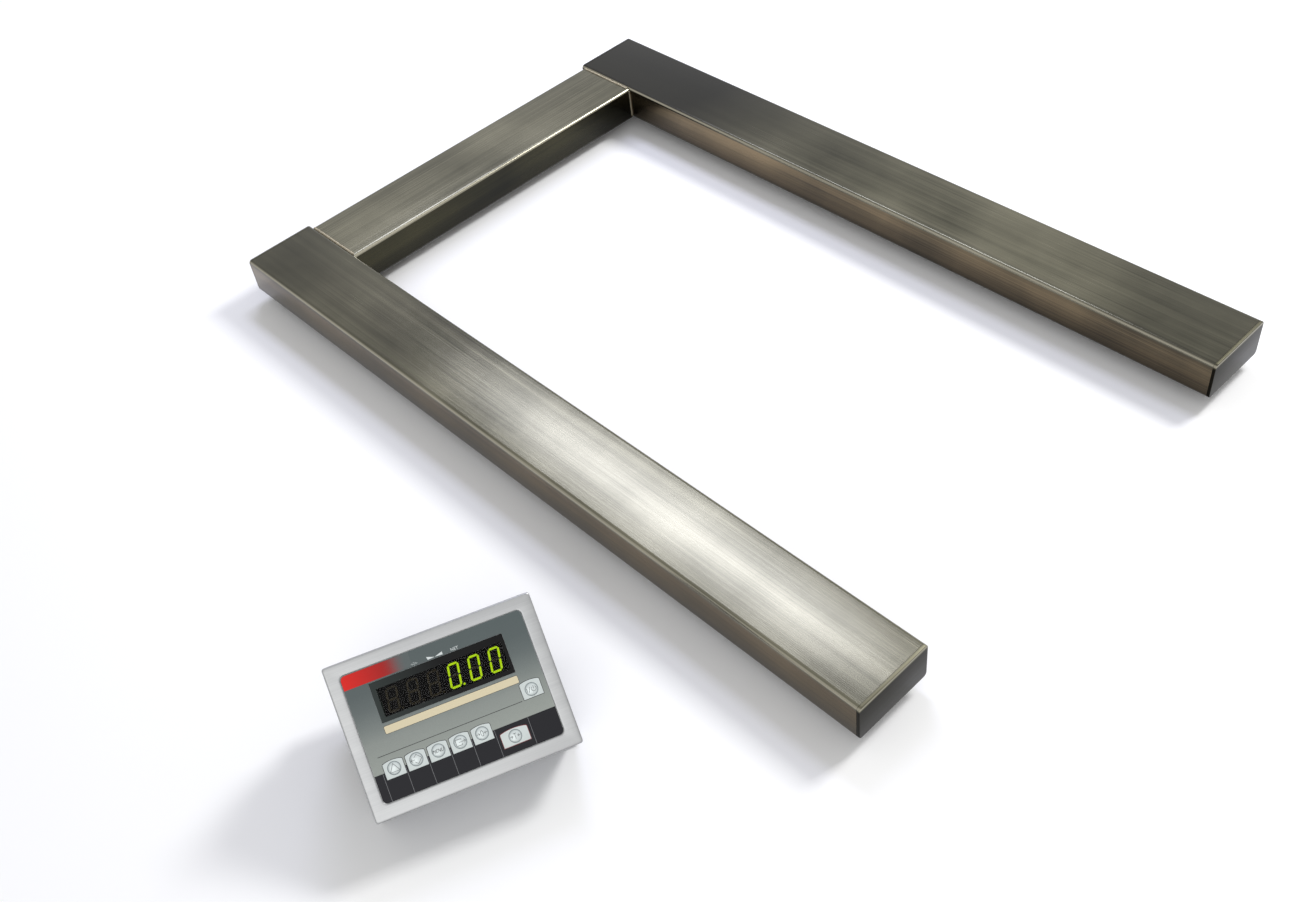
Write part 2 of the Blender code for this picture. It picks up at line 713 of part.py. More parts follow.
def make_gland(name, wall_thickness, parent, location, rotation):
    """A cable gland along +Z from a wall's outer face, with its thread and nut inside the wall."""
    flange = bmesh.new()
    add_cylinder(flange, gland_flange_radius, (0, 0, fit_gap), (0, 0, fit_gap + gland_flange_height), 6)
    body = make_object(name, flange, nickel_brass, parent, location, rotation)
    inner_end = -wall_thickness - gland_inner_length
    thread = bmesh.new()
    add_cylinder(thread, gland_thread_radius, (0, 0, inner_end), (0, 0, fit_gap + 0.001))
    add_solid(body, thread)
    nut = bmesh.new()
    nut_top = -wall_thickness - fit_gap
    add_cylinder(nut, gland_flange_radius, (0, 0, nut_top - gland_nut_height), (0, 0, nut_top), 6)
    add_solid(body, nut)
    dome = bmesh.new()
    low = fit_gap + gland_flange_height - 0.0005
    high = fit_gap + gland_flange_height + gland_dome_length
    profile = [(0, low), (gland_body_radius, low), (gland_body_radius, low + gland_body_height),
               (gland_body_radius - 0.001, high - 0.003), (gland_bore_radius + 0.002, high), (0, high)]
    add_turned(dome, profile)
    add_solid(body, dome)
    bore = bmesh.new()
    add_cylinder(bore, gland_bore_radius, (0, 0, inner_end - cut_past), (0, 0, high + cut_past),
                 bore_segments)
    cut(body, bore)


def make_platform_gland(platform):
    make_gland("platform_gland", tube_wall, platform, (crossbar_rear, gland_offset, crossbar_z),
               (0, -math.pi / 2, 0))


def key_places():
    grid = {name: (key_row_start_share + i * key_row_step_share, key_row_line_share)
            for i, name in enumerate(key_row_names)}
    grid["tare"] = (tare_column_share, tare_line_share)
    grid["power"] = (power_column_share, power_line_share)
    wide, high = film_right - film_left, film_top - film_bottom
    return {name: (film_left + column * wide, film_bottom + line * high)
            for name, (column, line) in grid.items()}


def add_key_holes(bm, radius, low, high):
    for x, y in key_places().values():
        add_cylinder(bm, radius, (x, y, low), (x, y, high))


def boss_places():
    return corners(housing_width / 2 - screw_inset, housing_height / 2 - screw_inset)


def make_rear_housing(housing):
    """A box of folded sheet with an inward flange at its mouth; glands and screws enter at the back."""
    depth = housing_depth + housing_front
    bm = bmesh.new()
    middle = housing_front - depth / 2
    add_box(bm, (housing_width, housing_height, depth), (0, 0, middle), housing_corner)
    shell = make_object("rear_housing", bm, satin_steel, housing, smooth=True)
    cavity = bmesh.new()
    low = -housing_depth + housing_wall
    high = housing_front - housing_wall
    add_box(cavity, (housing_width - 2 * housing_wall, housing_height - 2 * housing_wall, high - low),
            (0, 0, (low + high) / 2), housing_corner - housing_wall)
    cut(shell, cavity)
    holes = bmesh.new()
    add_box(holes, (housing_width - 2 * flange_width, housing_height - 2 * flange_width, 4 * housing_wall),
            (0, 0, housing_front), 0.002)
    before, behind = cut_past - housing_depth, -cut_past - housing_depth
    for x, y in boss_places() + stand_screw_places():
        add_cylinder(holes, screw_radius + thread_clearance, (x, y, behind), (x, y, before), bore_segments)
    for x, y in gland_places():
        add_cylinder(holes, gland_thread_radius + fit_gap, (x, y, behind), (x, y, before))
    cut(shell, holes)
    standoffs = bmesh.new()
    for x, y in corners(power_board_width / 2 - standoff_inset, power_board_height / 2 - standoff_inset):
        y += power_board_y
        add_cylinder(standoffs, standoff_radius, (x, y, low - housing_wall / 2),
                     (x, y, low + power_standoff_height), 6)
    add_solid(shell, standoffs)


def gland_places():
    return [(end * housing_gland_spacing / 2, housing_gland_y) for end in (-1, 1)]


def stand_screw_places():
    y = housing_height / 2 - stand_lip_from_top - stand_lip_length / 2 - stand_sheet / 2
    return [(end * stand_screw_spacing / 2, y) for end in (-1, 1)]


def make_front_cover(housing):
    """A shallow tray with a rim, a pressed recess for the film, a window and a hole for each key."""
    bm = bmesh.new()
    add_box(bm, (housing_width, housing_height, rim_depth), (0, 0, -rim_depth / 2), housing_corner)
    cover = make_object("front_cover", bm, satin_steel, housing, smooth=True)
    inner_x = housing_width - 2 * cover_wall
    inner_y = housing_height - 2 * cover_wall
    film_x = (film_left + film_right) / 2
    film_y = (film_bottom + film_top) / 2
    film_w = film_right - film_left
    film_h = film_top - film_bottom
    cavity = bmesh.new()
    add_box(cavity, (inner_x, inner_y, rim_depth), (0, 0, -cover_wall - rim_depth / 2), 0.0015)
    cut(cover, cavity)
    dish = bmesh.new()
    wrap = 2 * (cover_wall + fit_gap)
    add_box(dish, (film_w + wrap, film_h + wrap, recess_depth + 0.001),
            (film_x, film_y, recess_back + (recess_depth + 0.001) / 2), recess_corner + cover_wall)
    add_solid(cover, dish)
    bosses = bmesh.new()
    for x, y in boss_places():
        add_cylinder(bosses, boss_radius, (x, y, -cover_wall + 0.0004), (x, y, -cover_wall - boss_length),
                     bore_segments)
    for x, y in corners(front_board_width / 2 - standoff_inset, front_board_height / 2 - standoff_inset):
        add_cylinder(bosses, standoff_radius, (x, y, board_front + fit_gap),
                     (x, y, recess_back + cover_wall / 2), 6)
    add_solid(cover, bosses)
    holes = bmesh.new()
    add_box(holes, (film_w + 2 * fit_gap, film_h + 2 * fit_gap, 2 * recess_depth), (film_x, film_y, 0),
            recess_corner)
    cut(cover, holes)
    openings = bmesh.new()
    window_w = window_right - window_left - 2 * window_lip
    window_h = window_top - window_bottom - 2 * window_lip
    add_box(openings, (window_w, window_h, 2 * (cut_past + cover_wall)),
            ((window_left + window_right) / 2, (window_bottom + window_top) / 2, recess_back), 0.001,
            segments=1)
    add_key_holes(openings, key_radius + key_clearance, -0.006, 0.002)
    for x, y in boss_places():
        add_cylinder(openings, screw_radius + thread_clearance, (x, y, -0.02), (x, y, recess_back - 0.002),
                     bore_segments)
    cut(cover, openings)


def make_front_gasket(housing):
    bm = bmesh.new()
    low = housing_front + fit_gap
    high = -cover_wall - fit_gap
    middle = (0, 0, (low + high) / 2)
    outer_x = housing_width - 2 * (cover_wall + fit_gap)
    outer_y = housing_height - 2 * (cover_wall + fit_gap)
    add_box(bm, (outer_x, outer_y, high - low), middle, 0.002)
    gasket = make_object("front_gasket", bm, black_rubber, housing)
    tools = bmesh.new()
    add_box(tools, (housing_width - 2 * flange_width, housing_height - 2 * flange_width, 0.02), middle)
    cut(gasket, tools)


def make_keypad_film(housing):
    bm = bmesh.new()
    size = (film_right - film_left, film_top - film_bottom, film_thickness)
    place = ((film_left + film_right) / 2, (film_bottom + film_top) / 2, film_face - film_thickness / 2)
    add_box(bm, size, place, recess_corner - fit_gap)
    film = make_object("keypad_film", bm, film_grey, housing)
    tools = bmesh.new()
    window = (window_right - window_left + 2 * fit_gap, window_top - window_bottom + 2 * fit_gap, 0.01)
    add_box(tools, window, ((window_left + window_right) / 2, (window_bottom + window_top) / 2, 0))
    add_key_holes(tools, key_radius + key_clearance, -0.004, 0.004)
    cut(film, tools)


def make_display_window(housing):
    bm = bmesh.new()
    add_box(bm, (window_right - window_left, window_top - window_bottom, film_thickness),
            ((window_left + window_right) / 2, (window_bottom + window_top) / 2,
             film_face - film_thickness / 2))
    make_object("display_window", bm, window_black, housing)


def make_display_digits(housing):
    """A row of seven-segment digits behind the window, with a groove between one and the next."""
    bm = bmesh.new()
    place = (digit_center_x, digit_center_y, digit_face - digit_depth / 2)
    add_box(bm, (digits_width, digit_height, digit_depth), place)
    digits = make_object("display_digits", bm, digit_black, housing)
    grooves = bmesh.new()
    for i in range(1, digit_count):
        x = digit_center_x + (i - digit_count / 2) * digit_pitch
        add_box(grooves, (digit_groove_width, 2 * digit_height, 2 * digit_groove_depth),
                (x, digit_center_y, digit_face))
    cut(digits, grooves)


def make_front_board(housing):
    """The board behind the panel, with a switch under each key."""
    bm = bmesh.new()
    add_box(bm, (front_board_width, front_board_height, board_thickness),
            (0, 0, board_front - board_thickness / 2))
    board = make_object("front_board", bm, board_green, housing)
    switches = bmesh.new()
    low = board_front - board_thickness / 2
    top = board_front + switch_body_height
    for x, y in key_places().values():
        add_box(switches, (switch_side, switch_side, top - low), (x, y, (top + low) / 2))
    add_solid(board, switches)
    buttons = bmesh.new()
    for x, y in key_places().values():
        add_cylinder(buttons, switch_side / 4, (x, y, low), (x, y, top + switch_button_height), 8)
    add_solid(board, buttons)


def make_keys(housing):
    """Domed caps that press through the film, held by a flange behind the cover."""
    flange_top = recess_back - fit_gap
    switch_top = board_front + switch_body_height + switch_button_height
    stem_end = switch_top + switch_clearance
    edge = film_face - 0.0003
    dome = [(0, film_face + key_dome_height)]
    steps = 4
    for i in range(1, steps + 1):
        share = i / steps
        dome.append((key_radius * share, edge + (film_face + key_dome_height - edge) * (1 - share ** 2)))
    flange_bottom = flange_top - key_flange_thickness
    profile = dome + [(key_radius, flange_top), (key_flange_radius, flange_top),
                      (key_flange_radius, flange_bottom), (key_stem_radius, flange_bottom),
                      (key_stem_radius, stem_end), (0, stem_end)]
    for name, (x, y) in key_places().items():
        bm = bmesh.new()
        add_turned(bm, profile)
        make_object(f"key_{name}", bm, key_white, housing, (x, y, 0), smooth=True)


def make_power_board(housing):
    """The board on the back wall, with its transformer and a row of terminals."""
    board_back = -housing_depth + housing_wall + power_standoff_height + fit_gap
    middle = board_back + board_thickness / 2
    bm = bmesh.new()
    add_box(bm, (power_board_width, power_board_height, board_thickness), (0, power_board_y, middle))
    board = make_object("power_board", bm, board_green, housing)
    core = bmesh.new()
    core_x = transformer_width / 2 + transformer_from_edge - power_board_width / 2
    add_box(core, (transformer_width, transformer_height, transformer_depth),
            (core_x, power_board_y, middle + transformer_depth / 2), transformer_chamfer, axis=0,
            segments=1)
    add_box(core, (power_terminal_length, terminal_depth, terminal_height),
            (power_board_width / 2 - power_terminal_length / 2 - terminal_from_edge,
             power_board_y - power_board_height / 2 + terminal_depth, middle + terminal_height / 2))
    add_solid(board, core)


def make_housing_glands(housing):
    for number, (x, y) in enumerate(gland_places(), 1):
        make_gland(f"housing_gland_{number}", housing_wall, housing, (x, y, -housing_depth),
                   (math.pi, 0, 0))


def make_housing_screws(housing):
    """Long screws from the back wall to the front cover's bosses."""
    for number, (x, y) in enumerate(boss_places(), 1):
        make_screw(f"housing_screw_{number}", housing, (x, y, -housing_depth - fit_gap), (0, 0, 0),
                   housing_depth - cover_wall - 0.005)


def bent_path(points, radius, steps=3):
    """A path through the points with its inner corners rounded, in one plane."""
    path = [points[0]]
    for before, corner, after in zip(points, points[1:], points[2:]):
        to_before = (before - corner).normalized()
        to_after = (after - corner).normalized()
        half = to_before.angle(to_after) / 2
        trim = radius / math.tan(half)
        start = corner + to_before * trim
        finish = corner + to_after * trim
        middle = corner + (to_before + to_after).normalized() * (radius / math.sin(half))
        for i in range(steps + 1):
            spoke = (start - middle).lerp(finish - middle, i / steps).normalized()
            path.append(middle + spoke * radius)
    path.append(points[-1])
    return path


def stand_points():
    """The stand's centre line in side view: y towards the back, z up, from the front lip round."""
    up = Vector((0, math.sin(panel_elevation), math.cos(panel_elevation)))
    back = Vector((0, math.cos(panel_elevation), -math.sin(panel_elevation)))
    floor = stand_sheet / 2
    meet = (Vector((0, 0, housing_lift)) + up * (housing_height - stand_lip_from_top)
            + back * (fit_gap + stand_sheet / 2))
    rear_top = meet + back * stand_strut
    rear_foot = rear_top - Vector((0, (rear_top.z - floor) / math.tan(stand_lean), rear_top.z - floor))
    front = Vector((0, -stand_front_reach, floor))
    return [front + Vector((0, 0, stand_front_lip)), front, rear_foot, rear_top, meet,
            meet - up * stand_lip_length]


def make_stand(indicator):
    """One bent sheet: two legs under the housing, a leaning back and a strut up to the back wall."""
    points = stand_points()
    bm = bmesh.new()
    path = bent_path(points, stand_bend_radius)
    left = [bm.verts.new((-housing_width / 2, p.y, p.z)) for p in path]
    edges = [bm.edges.new(pair) for pair in zip(left, left[1:])]
    swept = bmesh.ops.extrude_edge_only(bm, edges=edges)["geom"]
    bmesh.ops.translate(bm, vec=(housing_width, 0, 0),
                        verts=[v for v in swept if isinstance(v, bmesh.types.BMVert)])
    stand = make_object("stand", bm, bent_steel, indicator, smooth=True)
    sheet = stand.modifiers.new("sheet", "SOLIDIFY")
    sheet.thickness = stand_sheet
    sheet.offset = 0
    sheet.use_even_offset = True
    rear_foot = points[2]
    holes = bmesh.new()
    front_y = -stand_front_reach - stand_front_lip - cut_past
    back_y = rear_foot.y - stand_rear_strip
    add_box(holes, (housing_width - 2 * stand_leg_width, back_y - front_y, 0.030),
            (0, (front_y + back_y) / 2, 0), stand_cut_corner)
    cut(stand, holes)
    slope = (points[3] - rear_foot).normalized()
    center = rear_foot + slope * (stand_opening_from_bend + stand_opening_height / 2)
    opening = bmesh.new()
    add_box(opening, (stand_opening_width, 0.020, stand_opening_height), (0, 0, 0),
            stand_opening_corner, axis=1)
    lean = Matrix.Rotation(stand_lean - math.pi / 2, 4, "X")
    bmesh.ops.transform(opening, matrix=Matrix.Translation(center) @ lean, verts=opening.verts)
    cut(stand, opening)


def make_stand_screws(housing):
    """The screws that hold the strut's lip to the back wall, and the holes that they need."""
    seat = -housing_depth - fit_gap - stand_sheet - fit_gap
    for number, (x, y) in enumerate(stand_screw_places(), 1):
        make_screw(f"stand_screw_{number}", housing, (x, y, seat), (0, 0, 0), stand_screw_length)
    tools = bmesh.new()
    for x, y in stand_screw_places():
        add_cylinder(tools, screw_radius + thread_clearance, (x, y, -housing_depth - 0.008),
                     (x, y, -housing_depth + 0.001), bore_segments)
    bmesh.ops.transform(tools, matrix=housing.matrix_basis, verts=tools.verts)
    cut(bpy.data.objects["stand"], tools)


def build_platform(platform):
    make_beam("right_beam", -1, platform)
    make_beam("left_beam", 1, platform)
    make_crossbar(platform)
    for number, (end, side) in enumerate(beam_ends(), 1):
        make_end_plate(f"end_plate_{number}", end, side, platform)
        make_load_cell(f"load_cell_{number}", end, side, platform)
        make_cell_bolts(number, end, side, platform)
        make_foot(number, end, side, platform)
        make_foot_locknut(number, end, side, platform)
        make_cell_cable(number, end, side, platform)
    make_junction_board(platform)
    make_access_cover(platform)
    make_platform_gland(platform)


def build_indicator(indicator, housing):
    make_rear_housing(housing)
    make_front_cover(housing)
    make_front_gasket(housing)
    make_keypad_film(housing)
    make_display_window(housing)
    make_display_digits(housing)
    make_front_board(housing)
    make_keys(housing)
    make_power_board(housing)
    make_housing_glands(housing)
    make_housing_screws(housing)
    make_stand(indicator)
    make_stand_screws(housing)


def stand_over_origin(root):
    """Move the whole scale so that the middle of its footprint is over the origin."""
    bpy.context.view_layer.update()
    depsgraph = bpy.context.evaluated_depsgraph_get()
    places = []
    for item in bpy.data.objects:
        if item.type == "MESH" and not item.hide_render:
            solid = item.evaluated_get(depsgraph)
            places += [solid.matrix_world @ vert.co for vert in solid.to_mesh().vertices]
            solid.to_mesh_clear()
    for axis in (0, 1):
        values = [place[axis] for place in places]
        root.location[axis] -= (min(values) + max(values)) / 2
    bpy.context.view_layer.update()


scale_root = make_empty("scale_root")
platform_frame = make_empty("platform_frame", scale_root)
indicator_frame = make_empty("indicator_frame", scale_root, (indicator_x, indicator_y, 0),
                             (0, 0, indicator_turn))
panel_center = (Vector((0, 0, housing_lift))
                + Vector((0, math.sin(panel_elevation), math.cos(panel_elevation))) * housing_height / 2
                + Vector((0, -math.cos(panel_elevation), math.sin(panel_elevation))) * housing_depth)
housing_frame = make_empty("housing_frame", indicator_frame, panel_center,
                           (math.pi / 2 - panel_elevation, 0, 0))
build_platform(platform_frame)
build_indicator(indicator_frame, housing_frame)
stand_over_origin(scale_root)
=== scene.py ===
import bpy
import bmesh
import math
import random
from functools import partialmethod
from mathutils import Matrix, Vector


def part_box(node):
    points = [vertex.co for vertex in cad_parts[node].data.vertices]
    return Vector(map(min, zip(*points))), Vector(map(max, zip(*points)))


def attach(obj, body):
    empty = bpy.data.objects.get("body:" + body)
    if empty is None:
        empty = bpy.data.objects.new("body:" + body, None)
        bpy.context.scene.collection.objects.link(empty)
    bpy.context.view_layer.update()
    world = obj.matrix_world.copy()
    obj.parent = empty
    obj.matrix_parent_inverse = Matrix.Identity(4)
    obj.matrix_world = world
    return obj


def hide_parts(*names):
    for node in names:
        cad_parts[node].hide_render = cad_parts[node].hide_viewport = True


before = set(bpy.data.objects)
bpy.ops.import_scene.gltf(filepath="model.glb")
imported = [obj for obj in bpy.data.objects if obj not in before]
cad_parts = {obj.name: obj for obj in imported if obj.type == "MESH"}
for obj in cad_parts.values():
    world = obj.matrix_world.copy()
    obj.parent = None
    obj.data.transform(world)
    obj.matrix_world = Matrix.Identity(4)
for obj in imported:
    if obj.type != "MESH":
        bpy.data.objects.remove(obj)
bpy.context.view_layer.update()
mm = 0.001


# where the indicator's panel is: its own frame has x to the right, y up and z out of the panel
placing = {
    "turn": math.radians(68),
    "elevation": math.radians(50),
    "windowMiddle": Vector((-1, 33.35, -0.55)) * mm,
}


def middle(node):
    low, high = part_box(node)
    return (low + high) / 2


panelTurn = (Matrix.Rotation(placing["turn"], 3, "Z")
             @ Matrix.Rotation(math.pi / 2 - placing["elevation"], 3, "X"))
panelOrigin = middle("display_window") - panelTurn @ placing["windowMiddle"]
panelPlace = Matrix.Translation(panelOrigin) @ panelTurn.to_4x4()


# modelling helpers

def objectMode():
    if bpy.context.object and bpy.context.object.mode != "OBJECT":
        bpy.ops.object.mode_set(mode="OBJECT")


def pickOnly(*items):
    objectMode()
    bpy.ops.object.select_all(action="DESELECT")
    for item in items:
        item.select_set(True)
    bpy.context.view_layer.objects.active = items[0]


def pickNone():
    pickOnly(next(iter(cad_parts.values())))
    bpy.ops.object.select_all(action="DESELECT")


def keepPlace(item):
    pickOnly(item)
    bpy.ops.object.transform_apply(location=True, rotation=True, scale=True)


def newest(name):
    item = bpy.context.object
    item.name = name
    item.data.name = name
    keepPlace(item)
    return item


def addBlock(name, size, center):
    pickNone()
    bpy.ops.mesh.primitive_cube_add(size=1, location=center, scale=size)
    return newest(name)


def fillBox(name, low, high):
    return addBlock(name, high - low, (low + high) / 2)


def addRound(name, radius, length, center, sides=32, turn=(0, 0, 0)):
    pickNone()
    bpy.ops.mesh.primitive_cylinder_add(vertices=sides, radius=radius, depth=length, location=center,
                                        rotation=turn)
    return newest(name)


def selectParts(item, kind, test):
    pickOnly(item)
    bpy.ops.object.mode_set(mode="EDIT")
    bpy.ops.mesh.select_mode(type=kind)
    bpy.ops.mesh.select_all(action="DESELECT")
    shape = bmesh.from_edit_mesh(item.data)
    for part in {"VERT": shape.verts, "EDGE": shape.edges, "FACE": shape.faces}[kind]:
        if test(part):
            part.select_set(True)
    shape.select_flush_mode()
    bmesh.update_edit_mesh(item.data)


def editAll(item):
    pickOnly(item)
    bpy.ops.object.mode_set(mode="EDIT")
    bpy.ops.mesh.select_all(action="SELECT")


def extrudeBy(step):
    bpy.ops.mesh.extrude_region_move(TRANSFORM_OT_translate={"value": step})


def faceOutwards():
    bpy.ops.mesh.select_all(action="SELECT")
    bpy.ops.mesh.normals_make_consistent(inside=False)
    objectMode()


def runsAlong(edge, axis):
    run = edge.verts[1].co - edge.verts[0].co
    return abs(run[axis]) > 0.99 * run.length


def roundEdges(item, width, steps, test):
    selectParts(item, "EDGE", test)
    bpy.ops.mesh.bevel(offset=width, segments=steps, profile=0.5, affect="EDGES")
    objectMode()


def roundAlong(item, width, steps, axis):
    roundEdges(item, width, steps, lambda e: runsAlong(e, axis))


def roundRims(item, width, steps=2, axis=2):
    roundEdges(item, width, steps, lambda e: not runsAlong(e, axis))


def removeFaces(item, test):
    selectParts(item, "FACE", test)
    bpy.ops.mesh.delete(type="FACE")
    objectMode()


def applyModifier(item, kind, **settings):
    pickOnly(item)
    modifier = item.modifiers.new(kind.lower(), kind)
    for key, value in settings.items():
        setattr(modifier, key, value)
    bpy.ops.object.modifier_apply(modifier=modifier.name)


def thicken(item, wall, offset=-1):
    applyModifier(item, "SOLIDIFY", thickness=wall, offset=offset, use_even_offset=True)


def cutAway(item, *cutters):
    for cutter in cutters:
        applyModifier(item, "BOOLEAN", operation="DIFFERENCE", object=cutter, solver="EXACT")
        bpy.data.objects.remove(cutter)


def joinAll(name, items):
    pickOnly(*items)
    if len(items) > 1:
        bpy.ops.object.join()
    items[0].name = name
    return items[0]


def addTurned(name, profile, center=(0, 0, 0), sides=48):
    # a closed turned shape from pairs of radius and height
    pickNone()
    radius, height = profile[0]
    bpy.ops.mesh.primitive_circle_add(vertices=sides, radius=radius, fill_type="NGON",
                                      location=(0, 0, height))
    item = newest(name)
    editAll(item)
    for nextRadius, nextHeight in profile[1:]:
        extrudeBy((0, 0, nextHeight - height))
        share = nextRadius / radius
        bpy.ops.transform.resize(value=(share, share, 1), center_override=(0, 0, nextHeight))
        radius, height = nextRadius, nextHeight
    faceOutwards()
    item.data.transform(Matrix.Translation(center))
    return item


def addLayers(name, size, corner, levels, center=(0, 0), steps=8):
    # a rounded plate built up in levels, each a growth of its outline and a height
    pickNone()
    grow, height = levels[0]
    bpy.ops.mesh.primitive_plane_add(size=1, location=(*center, height))
    bpy.context.object.scale = (size[0] + 2 * grow, size[1] + 2 * grow, 1)
    item = newest(name)
    selectParts(item, "VERT", lambda v: True)
    bpy.ops.mesh.bevel(offset=corner + grow, segments=steps, affect="VERTICES")
    bpy.ops.mesh.select_all(action="SELECT")
    for nextGrow, nextHeight in levels[1:]:
        extrudeBy((0, 0, nextHeight - height))
        share = [(side + 2 * nextGrow) / (side + 2 * grow) for side in size]
        bpy.ops.transform.resize(value=(*share, 1), center_override=(*center, nextHeight))
        grow, height = nextGrow, nextHeight
    faceOutwards()
    return item


def addOutline(name, points, low, high, edge=0):
    # a slab with any outline, its upper edges rounded where an edge is given
    pickNone()
    bpy.ops.mesh.primitive_circle_add(vertices=len(points), radius=mm, fill_type="NGON")
    item = newest(name)
    for vert, point in zip(item.data.vertices, points):
        vert.co = (*point, low)
    editAll(item)
    extrudeBy((0, 0, high - low))
    faceOutwards()
    if edge:
        roundEdges(item, edge, 2, lambda e: all(abs(v.co.z - high) < 0.001 * mm for v in e.verts))
    return item


def addStroke(name, points, width, surface, closed=False):
    # a drawn line that follows a surface, given as a height for each place
    corners = [Vector(point) for point in points]
    if closed:
        corners.append(corners[0])
    path = []
    for start, end in zip(corners, corners[1:]):
        count = max(1, math.ceil((end - start).length / (0.8 * mm)))
        path += [start.lerp(end, i / count) for i in range(count)]
    if not closed:
        path.append(corners[-1])
    pickNone()
    curve = bpy.data.curves.new(name, "CURVE")
    curve.dimensions = "3D"
    curve.bevel_depth = width / 2
    curve.bevel_resolution = 1
    curve.use_fill_caps = not closed
    spline = curve.splines.new("POLY")
    spline.points.add(len(path) - 1)
    spline.use_cyclic_u = closed
    for slot, point in zip(spline.points, path):
        slot.co = (point.x, point.y, surface(point.x, point.y) - 0.25 * width, 1)
    item = bpy.data.objects.new(name, curve)
    bpy.context.collection.objects.link(item)
    pickOnly(item)
    bpy.ops.object.convert(target="MESH")
    return bpy.context.object


def addWords(name, words, width, height, center, surface, shear=0, thick=0.1 * mm):
    # letters fitted into a width and a height, laid on a surface
    pickNone()
    bpy.ops.object.text_add()
    item = bpy.context.object
    item.data.body = words
    item.data.align_x = "CENTER"
    item.data.align_y = "CENTER"
    item.data.shear = shear
    item.data.resolution_u = 4
    bpy.ops.object.convert(target="MESH")
    item = newest(name)
    xs = [v.co.x for v in item.data.vertices]
    ys = [v.co.y for v in item.data.vertices]
    middleX, middleY = (min(xs) + max(xs)) / 2, (min(ys) + max(ys)) / 2
    sizeX, sizeY = max(xs) - min(xs), max(ys) - min(ys)
    for vert in item.data.vertices:
        vert.co.x = center[0] + (vert.co.x - middleX) * width / sizeX
        vert.co.y = center[1] + (vert.co.y - middleY) * height / sizeY
    editAll(item)
    bpy.ops.mesh.remove_doubles(threshold=0.001 * mm)
    bpy.ops.mesh.quads_convert_to_tris()
    bpy.ops.mesh.subdivide(number_cuts=2)
    objectMode()
    for vert in item.data.vertices:
        vert.co.z = surface(vert.co.x, vert.co.y)
    thicken(item, thick, 1)
    return item


def inMm(value):
    # a length, or all lengths of a list, a tuple or a dictionary
    if isinstance(value, dict):
        return {key: inMm(part) for key, part in value.items()}
    return type(value)(map(inMm, value)) if isinstance(value, (list, tuple)) else value * mm


def finishPiece(item, name, finish, slot, body, *nodes, place=None, angle=35):
    item.name = name
    if place:
        item.data.transform(place)
    keepPlace(item)
    bpy.ops.object.shade_smooth_by_angle(angle=math.radians(angle))
    item.data.materials.clear()
    item.data.materials.append(finish)
    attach(item, body)
    if nodes:
        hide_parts(*nodes)
    return item


def finishPanel(item, name, finish, slot, *nodes, body="indicator", angle=35):
    return finishPiece(item, name, finish, slot, body, *nodes, place=panelPlace, angle=angle)


def finishInk(item, name, finish):
    return finishPanel(item, name, finish, "printed_film")


# shader helpers

class Wire:
    # an output socket that can be reckoned with
    def __init__(self, sheet, socket):
        self.sheet = sheet
        self.socket = socket

    def calc(self, operation, *others, flip=False):
        values = [self, *others]
        if flip:
            values.reverse()
        return self.sheet.node("ShaderNodeMath", {"operation": operation}, dict(enumerate(values)))

    __add__ = __radd__ = partialmethod(calc, "ADD")
    __sub__ = partialmethod(calc, "SUBTRACT")
    __rsub__ = partialmethod(calc, "SUBTRACT", flip=True)
    __mul__ = __rmul__ = partialmethod(calc, "MULTIPLY")
    __abs__ = partialmethod(calc, "ABSOLUTE")


class Sheet:
    # the nodes of a material or of the world
    def __init__(self, owner):
        owner.use_nodes = True
        self.tree = owner.node_tree

    def node(self, kind, settings=None, values=None, out=0):
        made = self.tree.nodes.new(kind)
        for key, value in (settings or {}).items():
            if key == "stops":
                ramp = made.color_ramp.elements
                for spot, color in value[1:-1]:
                    ramp.new(spot).color = (*color, 1)
                for stop, (spot, color) in ((ramp[0], value[0]), (ramp[-1], value[-1])):
                    stop.position = spot
                    stop.color = (*color, 1)
            else:
                setattr(made, key, value)
        for key, value in (values or {}).items():
            if isinstance(value, Wire):
                self.tree.links.new(value.socket, made.inputs[key])
            else:
                made.inputs[key].default_value = value
        return Wire(self, made.outputs[out]) if made.outputs else made


class Finish(Sheet):
    def __init__(self, name, color, roughness, metallic=0, **sockets):
        self.material = bpy.data.materials.new(name)
        super().__init__(self.material)
        self.shader = self.tree.nodes["Principled BSDF"]
        for socket, value in {"Base_Color": (*color, 1), "Roughness": roughness, "Metallic": metallic,
                              **sockets}.items():
            self.feed(socket.replace("_", " "), value)

    def feed(self, socket, value):
        if isinstance(value, Wire):
            self.tree.links.new(value.socket, self.shader.inputs[socket])
        else:
            self.shader.inputs[socket].default_value = value

    def places(self):
        return self.node("ShaderNodeTexCoord", out="Object")

    def split(self, place):
        parts = self.node("ShaderNodeSeparateXYZ", None, {"Vector": place})
        return [Wire(self, parts.socket.node.outputs[axis]) for axis in "XYZ"]

    def noise(self, place, scale, stretch=(1, 1, 1), detail=3):
        spread = self.node("ShaderNodeMapping", None, {"Vector": place, "Scale": stretch})
        return self.node("ShaderNodeTexNoise", None, {"Vector": spread, "Scale": scale, "Detail": detail})

    def blend(self, share, first, second):
        return self.node("ShaderNodeMix", {"data_type": "RGBA"}, {0: share, 6: first, 7: second}, out=2)

    def bump(self, height, distance, strength):
        self.feed("Normal", self.node("ShaderNodeBump", None,
                                      {"Height": height, "Distance": distance, "Strength": strength}))


def paint(red, green, blue):
    # a colour as seen, made linear
    return tuple((level / 255 / 12.92) if level < 11 else ((level / 255 + 0.055) / 1.055) ** 2.4
                 for level in (red, green, blue))


